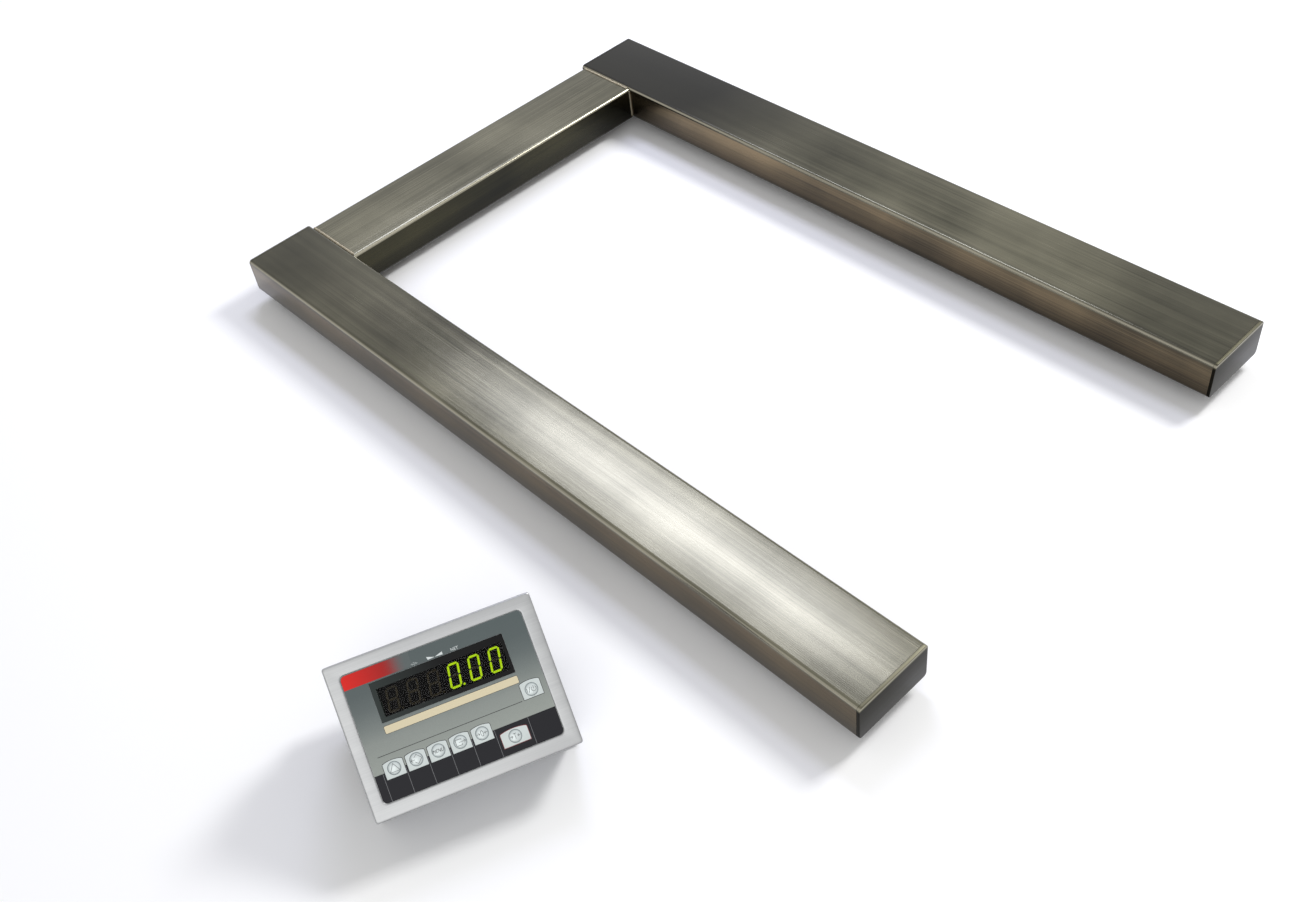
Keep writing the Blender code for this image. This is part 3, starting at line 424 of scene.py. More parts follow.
def tone(red, green, blue):
    return (*paint(red, green, blue), 1)


def clampShare(wire, low, high):
    # 0 at low, 1 at high
    return wire.sheet.node("ShaderNodeMapRange", {"clamp": True},
                           {"Value": wire, "From Min": low, "From Max": high})


# finishes

brushingAndPaintedShade = {
    "lineScale": 900, "lineStretch": 0.004, "bandScale": 70, "patchScale": 5,
    # the heights where a tube's top turns into its sides, the tone of the painted highlight on the rounded
    # top edges, and the heights and tone of the painted shade towards the floor, the corners and the ends
    "top": 0.0748, "side": 0.0728, "paintedHighlightTone": paint(168, 163, 146), "middle": 0.055, "under": 0.020,
    "paintedShadeTone": paint(14, 13, 8),
}
# for each kind of tube the dark and light tones of the painted shade and painted reflection on its sides, the
# height of the painted highlight on its rounded edge, and how strongly its corners take the painted shade
paintedTubeShading = {
    "beam": (paint(48, 42, 30), paint(124, 107, 80), 0.0772, 0.5),
    "cross": (paint(20, 20, 10), paint(58, 55, 34), 0.0748, 0),
    "plate": (paint(10, 9, 6), paint(32, 29, 21), 0.0772, 0.48),
}


def brushedSteel(name, dark, light, along, roughness, spread, coat=0, sheet=None, sides=None):
    # steel with fine lines along one axis, broad bands and faint patches, and for tubes a painted shade on
    # their sides, corners and ends and towards the floor, with a painted highlight on their rounded top edges
    steel = Finish(name, light, roughness, 1, Coat_Weight=coat, Coat_Roughness=0.24)
    place = steel.places()
    if sheet:
        place = steel.node("ShaderNodeMapping", {"vector_type": "TEXTURE"},
                           {"Vector": place, "Location": sheet.translation, "Rotation": sheet.to_euler()})
    stretch = [1, 1, 1]
    stretch[along] = brushingAndPaintedShade["lineStretch"]
    lines = steel.noise(place, brushingAndPaintedShade["lineScale"], stretch, 2)
    bandStretch = [1, 1, 1]
    bandStretch[along] = 0.02
    bands = steel.noise(place, brushingAndPaintedShade["bandScale"], bandStretch, 3)
    patches = steel.noise(place, brushingAndPaintedShade["patchScale"], (1, 1, 1), 4)
    share = clampShare(lines * 0.35 + bands * 0.35 + patches * 0.6, 0.45, 0.85)
    color = steel.blend(share, (*dark, 1), (*light, 1))
    if sides:
        # painted shade and painted reflection: browner, darker sides, and darker towards the floor, the
        # welded corners and the far beam's ends
        x, y, z = steel.split(place)
        shadedSideDark, shadedSideLight, edgeHeight, shade = paintedTubeShading[sides]
        far = clampShare(y, 0, 0.6)
        corner = clampShare(x - far * 0.18, -0.12, -0.54) * (far + 1) * shade
        end = clampShare(x, 0.3, 0.64) * far * shade
        color = steel.blend(corner + end, color, (*brushingAndPaintedShade["paintedShadeTone"], 1))
        shadedSideColor = steel.blend(share, (*shadedSideDark, 1), (*shadedSideLight, 1))
        # the crossbar's sides take the beams' painted side shade towards the rear and their own darker
        # painted shade towards the front
        if sides == "cross":
            rear = steel.blend(share, *[(*level, 1) for level in paintedTubeShading["beam"][:2]])
            shadedSideColor = steel.blend(clampShare(x, -0.52, -0.50), rear, shadedSideColor)
        color = steel.blend(clampShare(z, brushingAndPaintedShade["top"], brushingAndPaintedShade["side"]), color, shadedSideColor)
        # a painted highlight along the rounded top edge
        edge = clampShare(abs(z - edgeHeight), 0.0021, 0.0009) * (lines * 0.5 + 0.4)
        color = steel.blend(edge, color, (*brushingAndPaintedShade["paintedHighlightTone"], 1))
        # painted shade towards the floor
        color = steel.blend(clampShare(z, brushingAndPaintedShade["middle"], brushingAndPaintedShade["under"]) * 0.7, color,
                            (*brushingAndPaintedShade["paintedShadeTone"], 1))
    steel.feed("Base Color", color)
    steel.feed("Roughness", lines * spread + patches * spread + (roughness - spread))
    steel.bump(lines + bands * 0.5, 0.00004, 0.6)
    return steel.material


def plainFinish(name, color, roughness, metallic, grain, scale, gloss=0.5, alpha=1):
    # one colour with a fine grain in its tone, gloss and surface
    finish = Finish(name, color, roughness, metallic, Specular_IOR_Level=gloss, Alpha=alpha)
    speckle = finish.noise(finish.places(), scale, detail=4)
    darker = tuple(level * (1 - 2 * grain) for level in color)
    finish.feed("Base Color", finish.blend(speckle, (*darker, 1), (*color, 1)))
    finish.feed("Roughness", speckle * grain * 2 + (roughness - grain))
    finish.bump(speckle, 0.00002, 0.3)
    return finish.material


steelTones = {
    "deck": (paint(50, 49, 38), paint(120, 117, 99)),
    "cross": (paint(54, 53, 42), paint(120, 117, 100)),
    "cover": (paint(150, 151, 152), paint(170, 171, 171)),
    "box": (paint(128, 132, 138), paint(158, 161, 166)),
    "stand": (paint(92, 94, 99), paint(124, 126, 132)),
}

# each steel: its name, tones, the axis of its lines, roughness, its spread, coat, frame and kind of tube,
# which picks its painted side shade and painted edge highlight
steelRows = [
    ("beam_steel", "deck", 0, 0.24, 0.1, 0.35, None, "beam"),
    ("crossbar_steel", "cross", 1, 0.26, 0.1, 0.35, None, "cross"),
    ("rear_plate_steel", "deck", 1, 0.3, 0.12, 0.2, None, "beam"),
    ("plate_steel", "deck", 1, 0.36, 0.12, 0, None, "plate"),
    ("cover_steel", "cover", 0, 0.36, 0.06, 0, panelPlace),
    ("box_steel", "box", 0, 0.34, 0.06, 0, panelPlace),
    ("service_plate_steel", "box", 1, 0.36, 0.12),
    ("stand_steel", "stand", 0, 0.36, 0.08, 0, panelPlace),
]
(beamSteel, crossbarSteel, rearPlateSteel, plateSteel, coverSteel, boxSteel, coverPlateSteel,
 standSteel) = [brushedSteel(name, *steelTones[tones], *facts) for name, tones, *facts in steelRows]
# each plain finish: its name, colour, roughness, metallic share, grain and the grain's scale, and where
# they aren't the usual ones its gloss and how solid it is
plainTones = [
    ("weld_steel", paint(150, 142, 124), 0.38, 1, 0.2, 900),
    ("zinc_finish", paint(190, 190, 186), 0.28, 1, 0.08, 600),
    ("cell_finish", paint(180, 180, 182), 0.3, 1, 0.05, 500),
    ("gland_finish", paint(205, 200, 188), 0.24, 1, 0.05, 600),
    ("rubber_finish", paint(30, 30, 31), 0.75, 0, 0.15, 900),
    ("sheath_finish", paint(52, 52, 55), 0.55, 0, 0.1, 900),
    ("board_finish", paint(22, 84, 50), 0.42, 0, 0.12, 800),
    ("figure_dim", paint(112, 103, 78), 0.6, 0, 0.06, 900, 0.05),
    ("figure_block", paint(14, 14, 13), 0.6, 0, 0.1, 900, 0.05),
    ("ink_black", paint(33, 33, 37), 0.42, 0, 0.06, 1500, 0.15),
    ("ink_red", paint(120, 24, 28), 0.42, 0, 0.06, 1500),
    ("ink_cream", paint(218, 206, 172), 0.4, 0, 0.035, 1500),
    ("ink_grey", paint(128, 130, 132), 0.4, 0, 0.04, 1500),
    ("ink_pale", paint(214, 220, 220), 0.4, 0, 0.03, 1500),
    ("ink_sign", paint(26, 26, 28), 0.4, 0, 0.05, 1500),
    ("smoked_glass", (0.004, 0.004, 0.004), 0.08, 0, 0.02, 200, 0.1, 0.4),
]
(weldSteel, zincFinish, cellFinish, glandFinish, rubberFinish, sheathFinish, boardFinish, dimFinish,
 blockFinish, bandInk, redInk, creamInk, dividerInk, paleInk, signInk,
 glassFinish) = [plainFinish(*row) for row in plainTones]

# the printed sheet: a silver ground that darkens upwards, with dots beside the window

filmTones = {
    "stops": [(0.0, paint(168, 174, 166)), (0.22, paint(160, 166, 159)), (0.44, paint(146, 152, 147)),
              (0.55, paint(124, 132, 129)), (0.68, paint(100, 109, 108)), (0.82, paint(86, 96, 96)),
              (1.0, paint(82, 93, 93))],
    "low": -0.072, "high": 0.074, "dotPitch": 0.0011, "dotLow": -0.002, "dotHigh": 0.040,
}


def panelPlaces(finish):
    # the place in the panel's own frame, then its x and y
    spread = finish.node("ShaderNodeMapping", {"vector_type": "TEXTURE"},
                         {"Vector": finish.places(), "Location": panelPlace.translation,
                          "Rotation": panelPlace.to_euler()})
    return (spread, *finish.split(spread)[:2])


def sheetFinish():
    film = Finish("film_print", paint(150, 156, 150), 0.42, Specular_IOR_Level=0.3)
    spread, x, y = panelPlaces(film)
    grain = film.noise(spread, 2600, detail=2)
    clouds = film.noise(spread, 30, detail=2)
    wave = 2 * math.pi / (filmTones["dotPitch"] * 1.414)
    across = (x + y) * wave
    along = (x - y) * wave
    dots = across.calc("SINE") * along.calc("SINE")
    near = clampShare(y, filmTones["dotLow"], filmTones["dotLow"] + 0.012) \
        * clampShare(y, filmTones["dotHigh"], filmTones["dotHigh"] - 0.022)
    share = clampShare(y, filmTones["low"], filmTones["high"])
    tone = share + clouds * 0.03 - 0.015 + dots * near * 0.10
    ramp = film.node("ShaderNodeValToRGB", {"stops": filmTones["stops"]}, {"Fac": tone})
    film.feed("Base Color", film.blend(grain * 0.35, ramp, (0.05, 0.055, 0.055, 1)))
    film.feed("Roughness", grain * 0.14 + 0.36)
    film.bump(grain, 0.00001, 0.2)
    return film.material


def labelFinish():
    # red that breaks up into dots towards its right end
    label = Finish("label_red", paint(206, 22, 18), 0.4, Specular_IOR_Level=0.25)
    x, y = panelPlaces(label)[1:]
    wave = 2 * math.pi / 0.0013
    dots = (x * wave).calc("SINE") * (y * wave).calc("SINE") * 0.5 + 0.5
    fade = clampShare(x, -0.064, -0.028)
    gone = clampShare(fade * 1.15 - dots * 0.55, 0.10, 0.5)
    red = label.blend(clampShare(x, -0.11, -0.05), tone(222, 26, 16), tone(150, 14, 12))
    label.feed("Base Color", label.blend(gone, red, tone(88, 96, 96)))
    label.feed("Roughness", dots * 0.05 + 0.36)
    return label.material


def rimFinish():
    # dark grey that fades to black towards the right
    rim = Finish("window_rim_black", paint(20, 20, 20), 0.3, Specular_IOR_Level=0.12)
    x, y = panelPlaces(rim)[1:]
    fade = clampShare(x + y * 0.35, -0.075, 0.02)
    rim.feed("Base Color", rim.blend(fade, tone(50, 57, 55), tone(4, 4, 5)))
    rim.feed("Roughness", fade * -0.1 + 0.38)
    return rim.material


def silverFinish(name, color, roughness, metallic, foot=None):
    silver = Finish(name, color, roughness, metallic)
    speckle = silver.noise(silver.places(), 2400, detail=2)
    darker = tuple(level * 0.86 for level in color)
    tone = silver.blend(speckle, (*darker, 1), (*color, 1))
    if foot:
        # painted shade at a dome's foot
        height = silver.split(panelPlaces(silver)[0])[2]
        low = clampShare(height, 0.75 * mm, -0.1 * mm)
        tone = silver.blend(low * low, tone, (*foot, 1))
    silver.feed("Base Color", tone)
    silver.feed("Roughness", speckle * 0.1 + (roughness - 0.05))
    return silver.material


def lightFinish():
    lit = Finish("figure_light", (0, 0, 0), 0.6, Specular_IOR_Level=0.1, Emission_Strength=2.3)
    spread = lit.noise(lit.places(), 500, detail=2)
    lit.feed("Emission Color", lit.blend(spread, tone(172, 214, 0), tone(198, 238, 10)))
    lit.feed("Roughness", spread * 0.1 + 0.5)
    return lit.material


filmFinish = sheetFinish()
labelInk = labelFinish()
rimInk = rimFinish()
tabFinish = silverFinish("tab_silver", paint(206, 214, 212), 0.4, 0.1)
# the keys' foot colour is a painted shade at the domes' feet
keyFinish = silverFinish("key_silver", paint(210, 218, 217), 0.24, 0.25, foot=paint(120, 130, 132))
litFinish = lightFinish()
print("finishes ready")


# platform

tubeShape = inMm({
    "wall": 3, "corner": 6, "slotBack": 122, "slotFront": 23, "slotWidth": 42, "slotCorner": 6,
    "cableHole": 14, "cableRise": 23, "plateEdge": 0.7,
})


def roundTube(item, along):
    roundAlong(item, tubeShape["corner"], 8, along)


def squareTube(name, low, high, along):
    item = fillBox(name, low, high)
    roundTube(item, along)
    removeFaces(item, lambda f: abs(f.normal[along]) > 0.9)
    thicken(item, tubeShape["wall"])
    return item


def makeBeam(name, pads, side):
    low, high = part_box(name)
    item = squareTube(name + "_tube", low, high, 0)
    front, back, wall = tubeShape["slotFront"], tubeShape["slotBack"], tubeShape["wall"]
    for pad, end in zip(pads, (-1, 1)):
        spot = middle(pad)
        slot = addBlock("slot", (back + front, tubeShape["slotWidth"], 4 * wall),
                        (spot.x + end * (front - back) / 2, spot.y, low.z))
        roundAlong(slot, tubeShape["slotCorner"], 5, 2)
        cutAway(item, slot)
    inner = low.y if side > 0 else high.y
    cutAway(item, addRound("hole", tubeShape["cableHole"], 6 * wall,
                           (middle("crossbar").x, inner, low.z + tubeShape["cableRise"]), 40,
                           (math.pi / 2, 0, 0)))
    finishPiece(item, name + "_tube", beamSteel, "brushed_tube", "platform", name)


def makeEndPlate(number):
    node = f"end_plate_{number}"
    item = fillBox(node, *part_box(node))
    roundTube(item, 0)
    outer = -1 if number % 2 else 1
    roundEdges(item, tubeShape["plateEdge"], 3, lambda e: not runsAlong(e, 0)
               and all((v.co.x - middle(node).x) * outer > 0 for v in e.verts))
    finishPiece(item, f"end_cap_{number}", rearPlateSteel if number % 2 else plateSteel, "end_plate_steel",
                "platform", node)


weldShape = {
    "ripple": 2.2 * mm, "sides": 10, "seed": 7, "radius": 2.0 * mm, "uneven": 0.12, "wander": 0.25 * mm,
    "raised": 0.2 * mm, "ends": 6 * mm, "low": 7 * mm, "high": 5 * mm, "over": 1.0 * mm, "beside": 0.4 * mm,
    "topSquash": (0.8, 1.3, 0.7), "sideSquash": (1, 1, 0.8),
}


def weldBead(start, finish, squash):
    # a row of lapped ripples from start to finish
    rng = random.Random(weldShape["seed"])
    start = Vector(start)
    run = Vector(finish) - start
    count = int(run.length / weldShape["ripple"])
    ripples = []
    for i in range(count + 1):
        size = weldShape["radius"] * rng.uniform(1 - weldShape["uneven"], 1 + weldShape["uneven"])
        wander = Vector([rng.uniform(-1, 1) for _ in range(3)]) * weldShape["wander"]
        pickNone()
        bpy.ops.mesh.primitive_uv_sphere_add(segments=weldShape["sides"], ring_count=6, radius=size,
                                             location=start + run * (i / count) + wander, scale=squash)
        ripples.append(newest("ripple"))
    return joinAll("bead", ripples)


crossbarShape = inMm({
    "width": 120, "height": 60, "gap": 0.3, "opening": (12, 148, 32), "openingCorner": 5, "glandHole": 8.3,
})


def makeCrossbar():
    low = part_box("crossbar")[0]
    beamLow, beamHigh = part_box("right_beam")[1].y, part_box("left_beam")[0].y
    cover = middle("access_cover")
    gap, depth = crossbarShape["gap"], crossbarShape["opening"][0]
    barHigh = Vector((low.x + crossbarShape["width"], beamHigh - gap, low.z + crossbarShape["height"]))
    barLow = Vector((low.x, beamLow + gap, low.z))
    item = squareTube("crossbar_tube", barLow, barHigh, 1)
    opening = addBlock("opening", crossbarShape["opening"], (low.x, cover.y, cover.z))
    roundAlong(opening, crossbarShape["openingCorner"], 5, 0)
    gland = middle("platform_gland")
    hole = addRound("hole", crossbarShape["glandHole"], depth, (low.x, gland.y, gland.z), 32,
                    (0, math.pi / 2, 0))
    cutAway(item, opening, hole)
    finishPiece(item, "crossbar_tube", crossbarSteel, "brushed_tube", "platform", "crossbar")
    ends, raised = weldShape["ends"], weldShape["raised"]
    top, out = barHigh.z + raised, barHigh.x + raised
    beads = []
    for edge, side in ((barLow.y, 1), (barHigh.y, -1)):
        over, beside = [edge + side * weldShape[kind] for kind in ("over", "beside")]
        beads.append(weldBead((barLow.x + ends, over, top), (barHigh.x - ends, over, top),
                              weldShape["topSquash"]))
        beads.append(weldBead((out, beside, barLow.z + weldShape["low"]),
                              (out, beside, barHigh.z - weldShape["high"]), weldShape["sideSquash"]))
    finishPiece(joinAll("crossbar_welds", beads), "crossbar_welds", weldSteel, "brushed_tube", "platform",
                angle=60)


padShape = {
    "profile": [(17.5, 0), (18.6, 0.4), (19, 1.2), (19, 4.6), (18.4, 5.2), (12, 8.6), (9.8, 10.4),
                (9.2, 12), (8.4, 12.5), (5.4, 12.5), (5.2, 11.2)],
}


def makeFoot(number):
    pad = f"foot_pad_{number}"
    spot = middle(pad)
    item = addTurned(pad, inMm(padShape["profile"]), (spot.x, spot.y, 0))
    finishPiece(item, f"pad_{number}", zincFinish, "zinc_steel", f"foot_{number}", pad)


for beam, pads, side in (("right_beam", ("foot_pad_1", "foot_pad_2"), -1),
                         ("left_beam", ("foot_pad_3", "foot_pad_4"), 1)):
    makeBeam(beam, pads, side)
for number in range(1, 5):
    makeEndPlate(number)
    makeFoot(number)
makeCrossbar()
print("platform ready")


# indicator's box, in its panel's own frame

boxShape = inMm({
    "size": (240, 178), "back": -90, "front": -5.8, "corner": 3, "wall": 1.2, "backFold": 2, "flange": 6.5,
    "screws": [(x, y) for x in (-109, 109) for y in (-78, 78)],
    "standScrews": [(-80, 63), (80, 63)], "glands": [(-40, -25), (40, -25)],
    "standoffs": [(x, 36.5 + y) for x in (-69, 69) for y in (-39, 39)],
    "screwHole": 2.3, "glandHole": 8.3, "standoffRadius": 3, "standoffLength": 8.4, "standoffMiddle": 3.8,
    "mouthCorner": 2,
})
coverShape = inMm({
    "rim": 5, "fold": 2.2, "under": 2.7, "inner": (237, 175), "recess": (209.6, 146.6),
    "recessMiddle": (-0.5, 1), "recessCorner": 6, "windowHole": (150, 41.7), "windowMiddle": (-1, 33.35),
    "lip": [(0, -1.2), (0, -0.8), (0.22, -0.46), (0.62, -0.2), (1.2, -0.06), (1.9, 0.01), (3.2, 0.3)],
    "bossRadius": 4, "bossLength": 13.5, "postRadius": 3, "postLength": 9, "bossRoot": 0.4, "bossTop": -4.7,
    "keyHole": 7.9,
    "posts": [(x, y) for x in (-97, 97) for y in (-58, 58)],
})
keyNames = ("test", "units", "menu", "print", "zero", "tare", "power")


def keyPoints(name):
    return [panelPlace.inverted() @ v.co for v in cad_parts["key_" + name].data.vertices]


def keySpot(name):
    points = keyPoints(name)
    return tuple((max(v[i] for v in points) + min(v[i] for v in points)) / 2 for i in (0, 1))


keySpots = {name: keySpot(name) for name in keyNames}


def drill(item, spots, radius, low, high, sides=32):
    for spot in spots:
        cutAway(item, addRound("hole", radius, high - low, (*spot, (low + high) / 2), sides))


def fuse(item, *others):
    for other in others:
        applyModifier(item, "BOOLEAN", operation="UNION", object=other, solver="EXACT")
        bpy.data.objects.remove(other)


def makeRearHousing():
    back, front, wall = boxShape["back"], boxShape["front"], boxShape["wall"]
    width, height = boxShape["size"]
    shell = addBlock("shell", (width, height, front - back), (0, 0, (front + back) / 2))
    roundAlong(shell, boxShape["corner"], 6, 2)
    roundEdges(shell, boxShape["backFold"], 4, lambda e: all(v.co.z < back + 0.1 * mm for v in e.verts))
    removeFaces(shell, lambda f: f.normal.z > 0.9)
    thicken(shell, wall)
    flange = addLayers("flange", (width, height), boxShape["corner"],
                       [(-0.4 * mm, front - wall), (-0.1 * mm, front - 0.3 * mm), (-0.2 * mm, front)])
    mouth = addLayers("mouth", [side - 2 * boxShape["flange"] for side in (width, height)],
                      boxShape["mouthCorner"], [(0, front - 5 * wall), (0, front + wall)])
    cutAway(flange, mouth)
    fuse(shell, flange)
    for spot in boxShape["standoffs"]:
        fuse(shell, addRound("standoff", boxShape["standoffRadius"], boxShape["standoffLength"],
                             (*spot, back + wall + boxShape["standoffMiddle"]), 6))
    depths = back - wall, back + 2 * wall
    drill(shell, boxShape["screws"] + boxShape["standScrews"], boxShape["screwHole"], *depths, 24)
    drill(shell, boxShape["glands"], boxShape["glandHole"], *depths)
    finishPanel(shell, "housing_box", boxSteel, "satin_steel", "rear_housing")


def makeCover():
    rim, fold, steps = coverShape["rim"], coverShape["fold"], 6
    levels = [(0, -rim)]
    for i in range(steps + 1):
        angle = math.pi / 2 * i / steps
        levels.append((fold * (math.cos(angle) - 1), fold * (math.sin(angle) - 1)))
    cover = addLayers("cover", boxShape["size"], boxShape["corner"], levels)
    under = addLayers("under", coverShape["inner"], 1.5 * mm, [(0, -2 * rim), (0, -coverShape["under"])])
    recess = addLayers("recess", coverShape["recess"], coverShape["recessCorner"],
                       coverShape["lip"], coverShape["recessMiddle"], 10)
    window = addLayers("window", coverShape["windowHole"], 1 * mm, [(0, -2 * rim), (0, rim)],
                       coverShape["windowMiddle"], 3)
    cutAway(cover, under, recess, window)
    root = coverShape["bossRoot"] - coverShape["under"]
    for kind, spots, sides in (("boss", boxShape["screws"], 24), ("post", coverShape["posts"], 6)):
        radius, length = coverShape[kind + "Radius"], coverShape[kind + "Length"]
        for spot in spots:
            fuse(cover, addRound(kind, radius, length, (*spot, root - length / 2), sides))
    drill(cover, boxShape["screws"], boxShape["screwHole"], -20 * mm, coverShape["bossTop"], 24)
    drill(cover, keySpots.values(), coverShape["keyHole"], -2 * rim, rim, 40)
    finishPanel(cover, "panel_cover", coverSteel, "satin_steel", "front_cover")


makeRearHousing()
makeCover()
print("indicator's box ready")


# printed film with its window, on heights in the panel's frame

filmShape = inMm({
    "size": (209, 146), "middle": (-0.5, 1), "corner": 5.7, "back": -0.9, "face": -0.2, "keyHole": 7.56,
    "window": (154, 45.7), "windowMiddle": (-1, 33.35), "clear": (144.5, 32), "clearMiddle": (-0.2, 31.8),
    "left": -105, "right": 104, "bottom": -72,
})
tabShape = {
    "row": {"half": 11.15, "low": -48.6, "high": -29.5, "rise": 1.9, "corner": 1.5},
    "tare": {"half": 15.5, "low": -63.8, "high": -45.9, "rise": 2.2, "corner": 1.6},
    "power": {"half": 11.6, "low": -22.2, "high": -2.7, "rise": 1.7, "corner": 2.2},
    "outline": 0.5, "edge": 0.16 * mm,
}


def slab(name, size, corner, low, high, center, edge=0.04 * mm):
    return addLayers(name, size, corner, [(0, low), (0, high - edge), (-edge, high)], center)


def punchKeys(item, *names):
    drill(item, [keySpots[name] for name in names], filmShape["keyHole"], -5 * mm, 5 * mm, 48)


def tabOutline(shape, centerX, grow=0):
    # in mm: an upright plate with an arched head, rounded at its two upper corners
    half, low, high = shape["half"] + grow, shape["low"] - grow, shape["high"] + grow
    rise, corner = shape["rise"], shape["corner"] + grow
    radius = (half ** 2 + rise ** 2) / (2 * rise)
    lean = math.asin((half - corner) / (radius - corner))
    hub = high - radius
    points = [(-half, low), (half, low)]
    turns = [(math.pi / 2 - lean) * i / 5 for i in range(6)]
    for side, steps in ((1, turns), (-1, turns[::-1])):
        points += [(side * (half - corner + corner * math.cos(turn)),
                    hub + (radius - corner) * math.cos(lean) + corner * math.sin(turn)) for turn in steps]
        if side > 0:
            points += [(radius * math.sin(lean * k / 6), hub + radius * math.cos(lean * k / 6))
                       for k in range(5, -6, -1)]
    return inMm([(centerX + x, y) for x, y in points])


# ink on the film: each colour is one joined piece of thin slabs, drawn lines and words

inkHeights = inMm({"band": -0.17, "outline": -0.15, "line": -0.13, "tab": -0.06})
inkShape = {
    "sunk": -0.3 * mm, "band": -40.3 * mm, "dividers": (-95.6, -70.1, -44.7, -19.5, 5.8, 32.2, 71.3),
    "dividerWidth": 0.35, "rule": (-95, 72, -22.3), "ruleWidth": 0.55,
    "strip": (154 * mm, 8.4 * mm), "stripMiddle": (-1 * mm, 2.4 * mm), "stripCorner": 1.4 * mm,
    "label": (-104.4 * mm, -27 * mm), "labelHeights": (57.6 * mm, 73.4 * mm), "strokeWidth": 0.62 * mm,
    "smallWidth": 0.34 * mm, "signLine": 59 * mm,
}


def tabPlates(kind, column):
    shape = tabShape[kind]
    grow = tabShape["outline"]
    rim = addOutline("rim", tabOutline(shape, column, grow), inkShape["sunk"], inkHeights["outline"])
    plate = addOutline("plate", tabOutline(shape, column), inkShape["sunk"], inkHeights["tab"],
                       tabShape["edge"])
    return rim, plate


def makeFilm():
    film = slab("film", filmShape["size"], filmShape["corner"], filmShape["back"], filmShape["face"],
                filmShape["middle"])
    opening = addLayers("opening", filmShape["window"], 0.8 * mm, inMm([(0.15, -5), (0.15, 5)]),
                        filmShape["windowMiddle"], 3)
    cutAway(film, opening)
    punchKeys(film, *keyNames)
    finishPanel(film, "printed_sheet", filmFinish, "printed_film", "keypad_film")


def makeInks():
    sunk = inkShape["sunk"]
    rims, plates = [], []
    for name in keyNames:
        kind = name if name in tabShape else "row"
        rim, plate = tabPlates(kind, keySpots[name][0] / mm)
        for item in (rim, plate):
            punchKeys(item, name)
        plates.append(plate)
        if name == "tare":
            finishInk(rim, "ink_red_rim", redInk)
        else:
            rims.append(rim)
    finishInk(joinAll("key_tabs", plates), "key_tabs", tabFinish)
    left, right, bottom = filmShape["left"], filmShape["right"], filmShape["bottom"]
    inset = 0.05 * mm
    band = slab("band", (right - left - 2 * inset, 60 * mm), filmShape["corner"] - inset, sunk,
                inkHeights["band"], ((left + right) / 2, bottom + inset + 30 * mm))
    trim = addBlock("trim", (2 * (right - left), 60 * mm, 4 * mm), (0, inkShape["band"] + 30 * mm, 0))
    cutAway(band, trim)
    punchKeys(band, *keyNames[:6])
    finishInk(band, "ink_band", bandInk)
    ruleLeft, ruleRight, ruleLine = inkShape["rule"]
    rule = slab("rule", ((ruleRight - ruleLeft) * mm, inkShape["ruleWidth"] * mm), 0.2 * mm, sunk,
                inkHeights["line"], ((ruleLeft + ruleRight) / 2 * mm, ruleLine * mm), 0.02 * mm)
    stripRim = slab("strip_rim", [side + 0.7 * mm for side in inkShape["strip"]],
                    inkShape["stripCorner"] + 0.35 * mm, sunk, inkHeights["outline"],
                    inkShape["stripMiddle"])
    finishInk(joinAll("ink_lines", rims + [rule, stripRim]), "ink_lines", bandInk)
    dividers = [slab("divider", (inkShape["dividerWidth"] * mm, inkShape["band"] - bottom - 0.6 * mm),
                     0.1 * mm, sunk, inkHeights["line"],
                     (x * mm, (inkShape["band"] + bottom) / 2), 0.02 * mm) for x in inkShape["dividers"]]
    finishInk(joinAll("ink_dividers", dividers), "ink_dividers", dividerInk)
    strip = slab("strip", inkShape["strip"], inkShape["stripCorner"], sunk, inkHeights["line"],
                 inkShape["stripMiddle"])
    finishInk(strip, "ink_strip", creamInk)
    labelLeft, labelRight = inkShape["label"]
    labelLow, labelHigh = inkShape["labelHeights"]
    label = addLayers("label", (2 * (labelRight - labelLeft), 2 * (labelHigh - labelLow)),
                      filmShape["corner"] - 0.6 * mm, [(0, sunk), (0, inkHeights["band"])],
                      (labelRight, labelLow))
    for size, place in (((0.3, 0.3, 0.01), (labelRight + 0.15, 0, 0)),
                        ((0.3, 0.3, 0.01), (0, labelLow - 0.15, 0))):
        cutAway(label, addBlock("trim", size, place))
    finishInk(label, "ink_label", labelInk)


makeFilm()
makeInks()
print("film ready")


# window and the six figures behind it

windowShape = inMm({"back": -0.9, "face": -0.2, "rimFace": -0.14})
figureShape = {
    "first": -58.75, "pitch": 23.7, "middle": 31.2, "width": 13.5, "height": 27.6, "bar": 2.4, "gap": 0.25,
    "slant": 4.2 / 27.6, "back": -4.1 * mm, "face": -3.94 * mm, "pointSide": 9.0, "pointRadius": 1.25,
    "lit": ("", "", "", "abcdef", "abcdef", "abcdef"), "litPoint": 3,
}


def makeWindow():
    glass = slab("glass", filmShape["window"], 0.8 * mm, windowShape["back"], windowShape["face"],
                 filmShape["windowMiddle"])
    finishPanel(glass, "window_glass", glassFinish, "dark_window", "display_window")
    rim = slab("rim", [side - 0.1 * mm for side in filmShape["window"]], 0.75 * mm, inkShape["sunk"],
               windowShape["rimFace"], filmShape["windowMiddle"])
    clear = addLayers("clear", filmShape["clear"], 0.5 * mm, [(0, -3 * mm), (0, 3 * mm)],
                      filmShape["clearMiddle"], 3)
    cutAway(rim, clear)
    finishPanel(rim, "window_rim", rimInk, "dark_window")


def figureBar(name, length, upright, x, y):
    # one bar with pointed ends
    wide = figureShape["bar"]
    half, edge = length / 2, wide / 2
    points = [(-half, 0), (-half + edge, -edge), (half - edge, -edge), (half, 0), (half - edge, edge),
              (-half + edge, edge)]
    if upright:
        points = [(-b, a) for a, b in points]
    return addOutline(name, inMm([(x + a, y + b) for a, b in points]), figureShape["back"],
                      figureShape["face"])


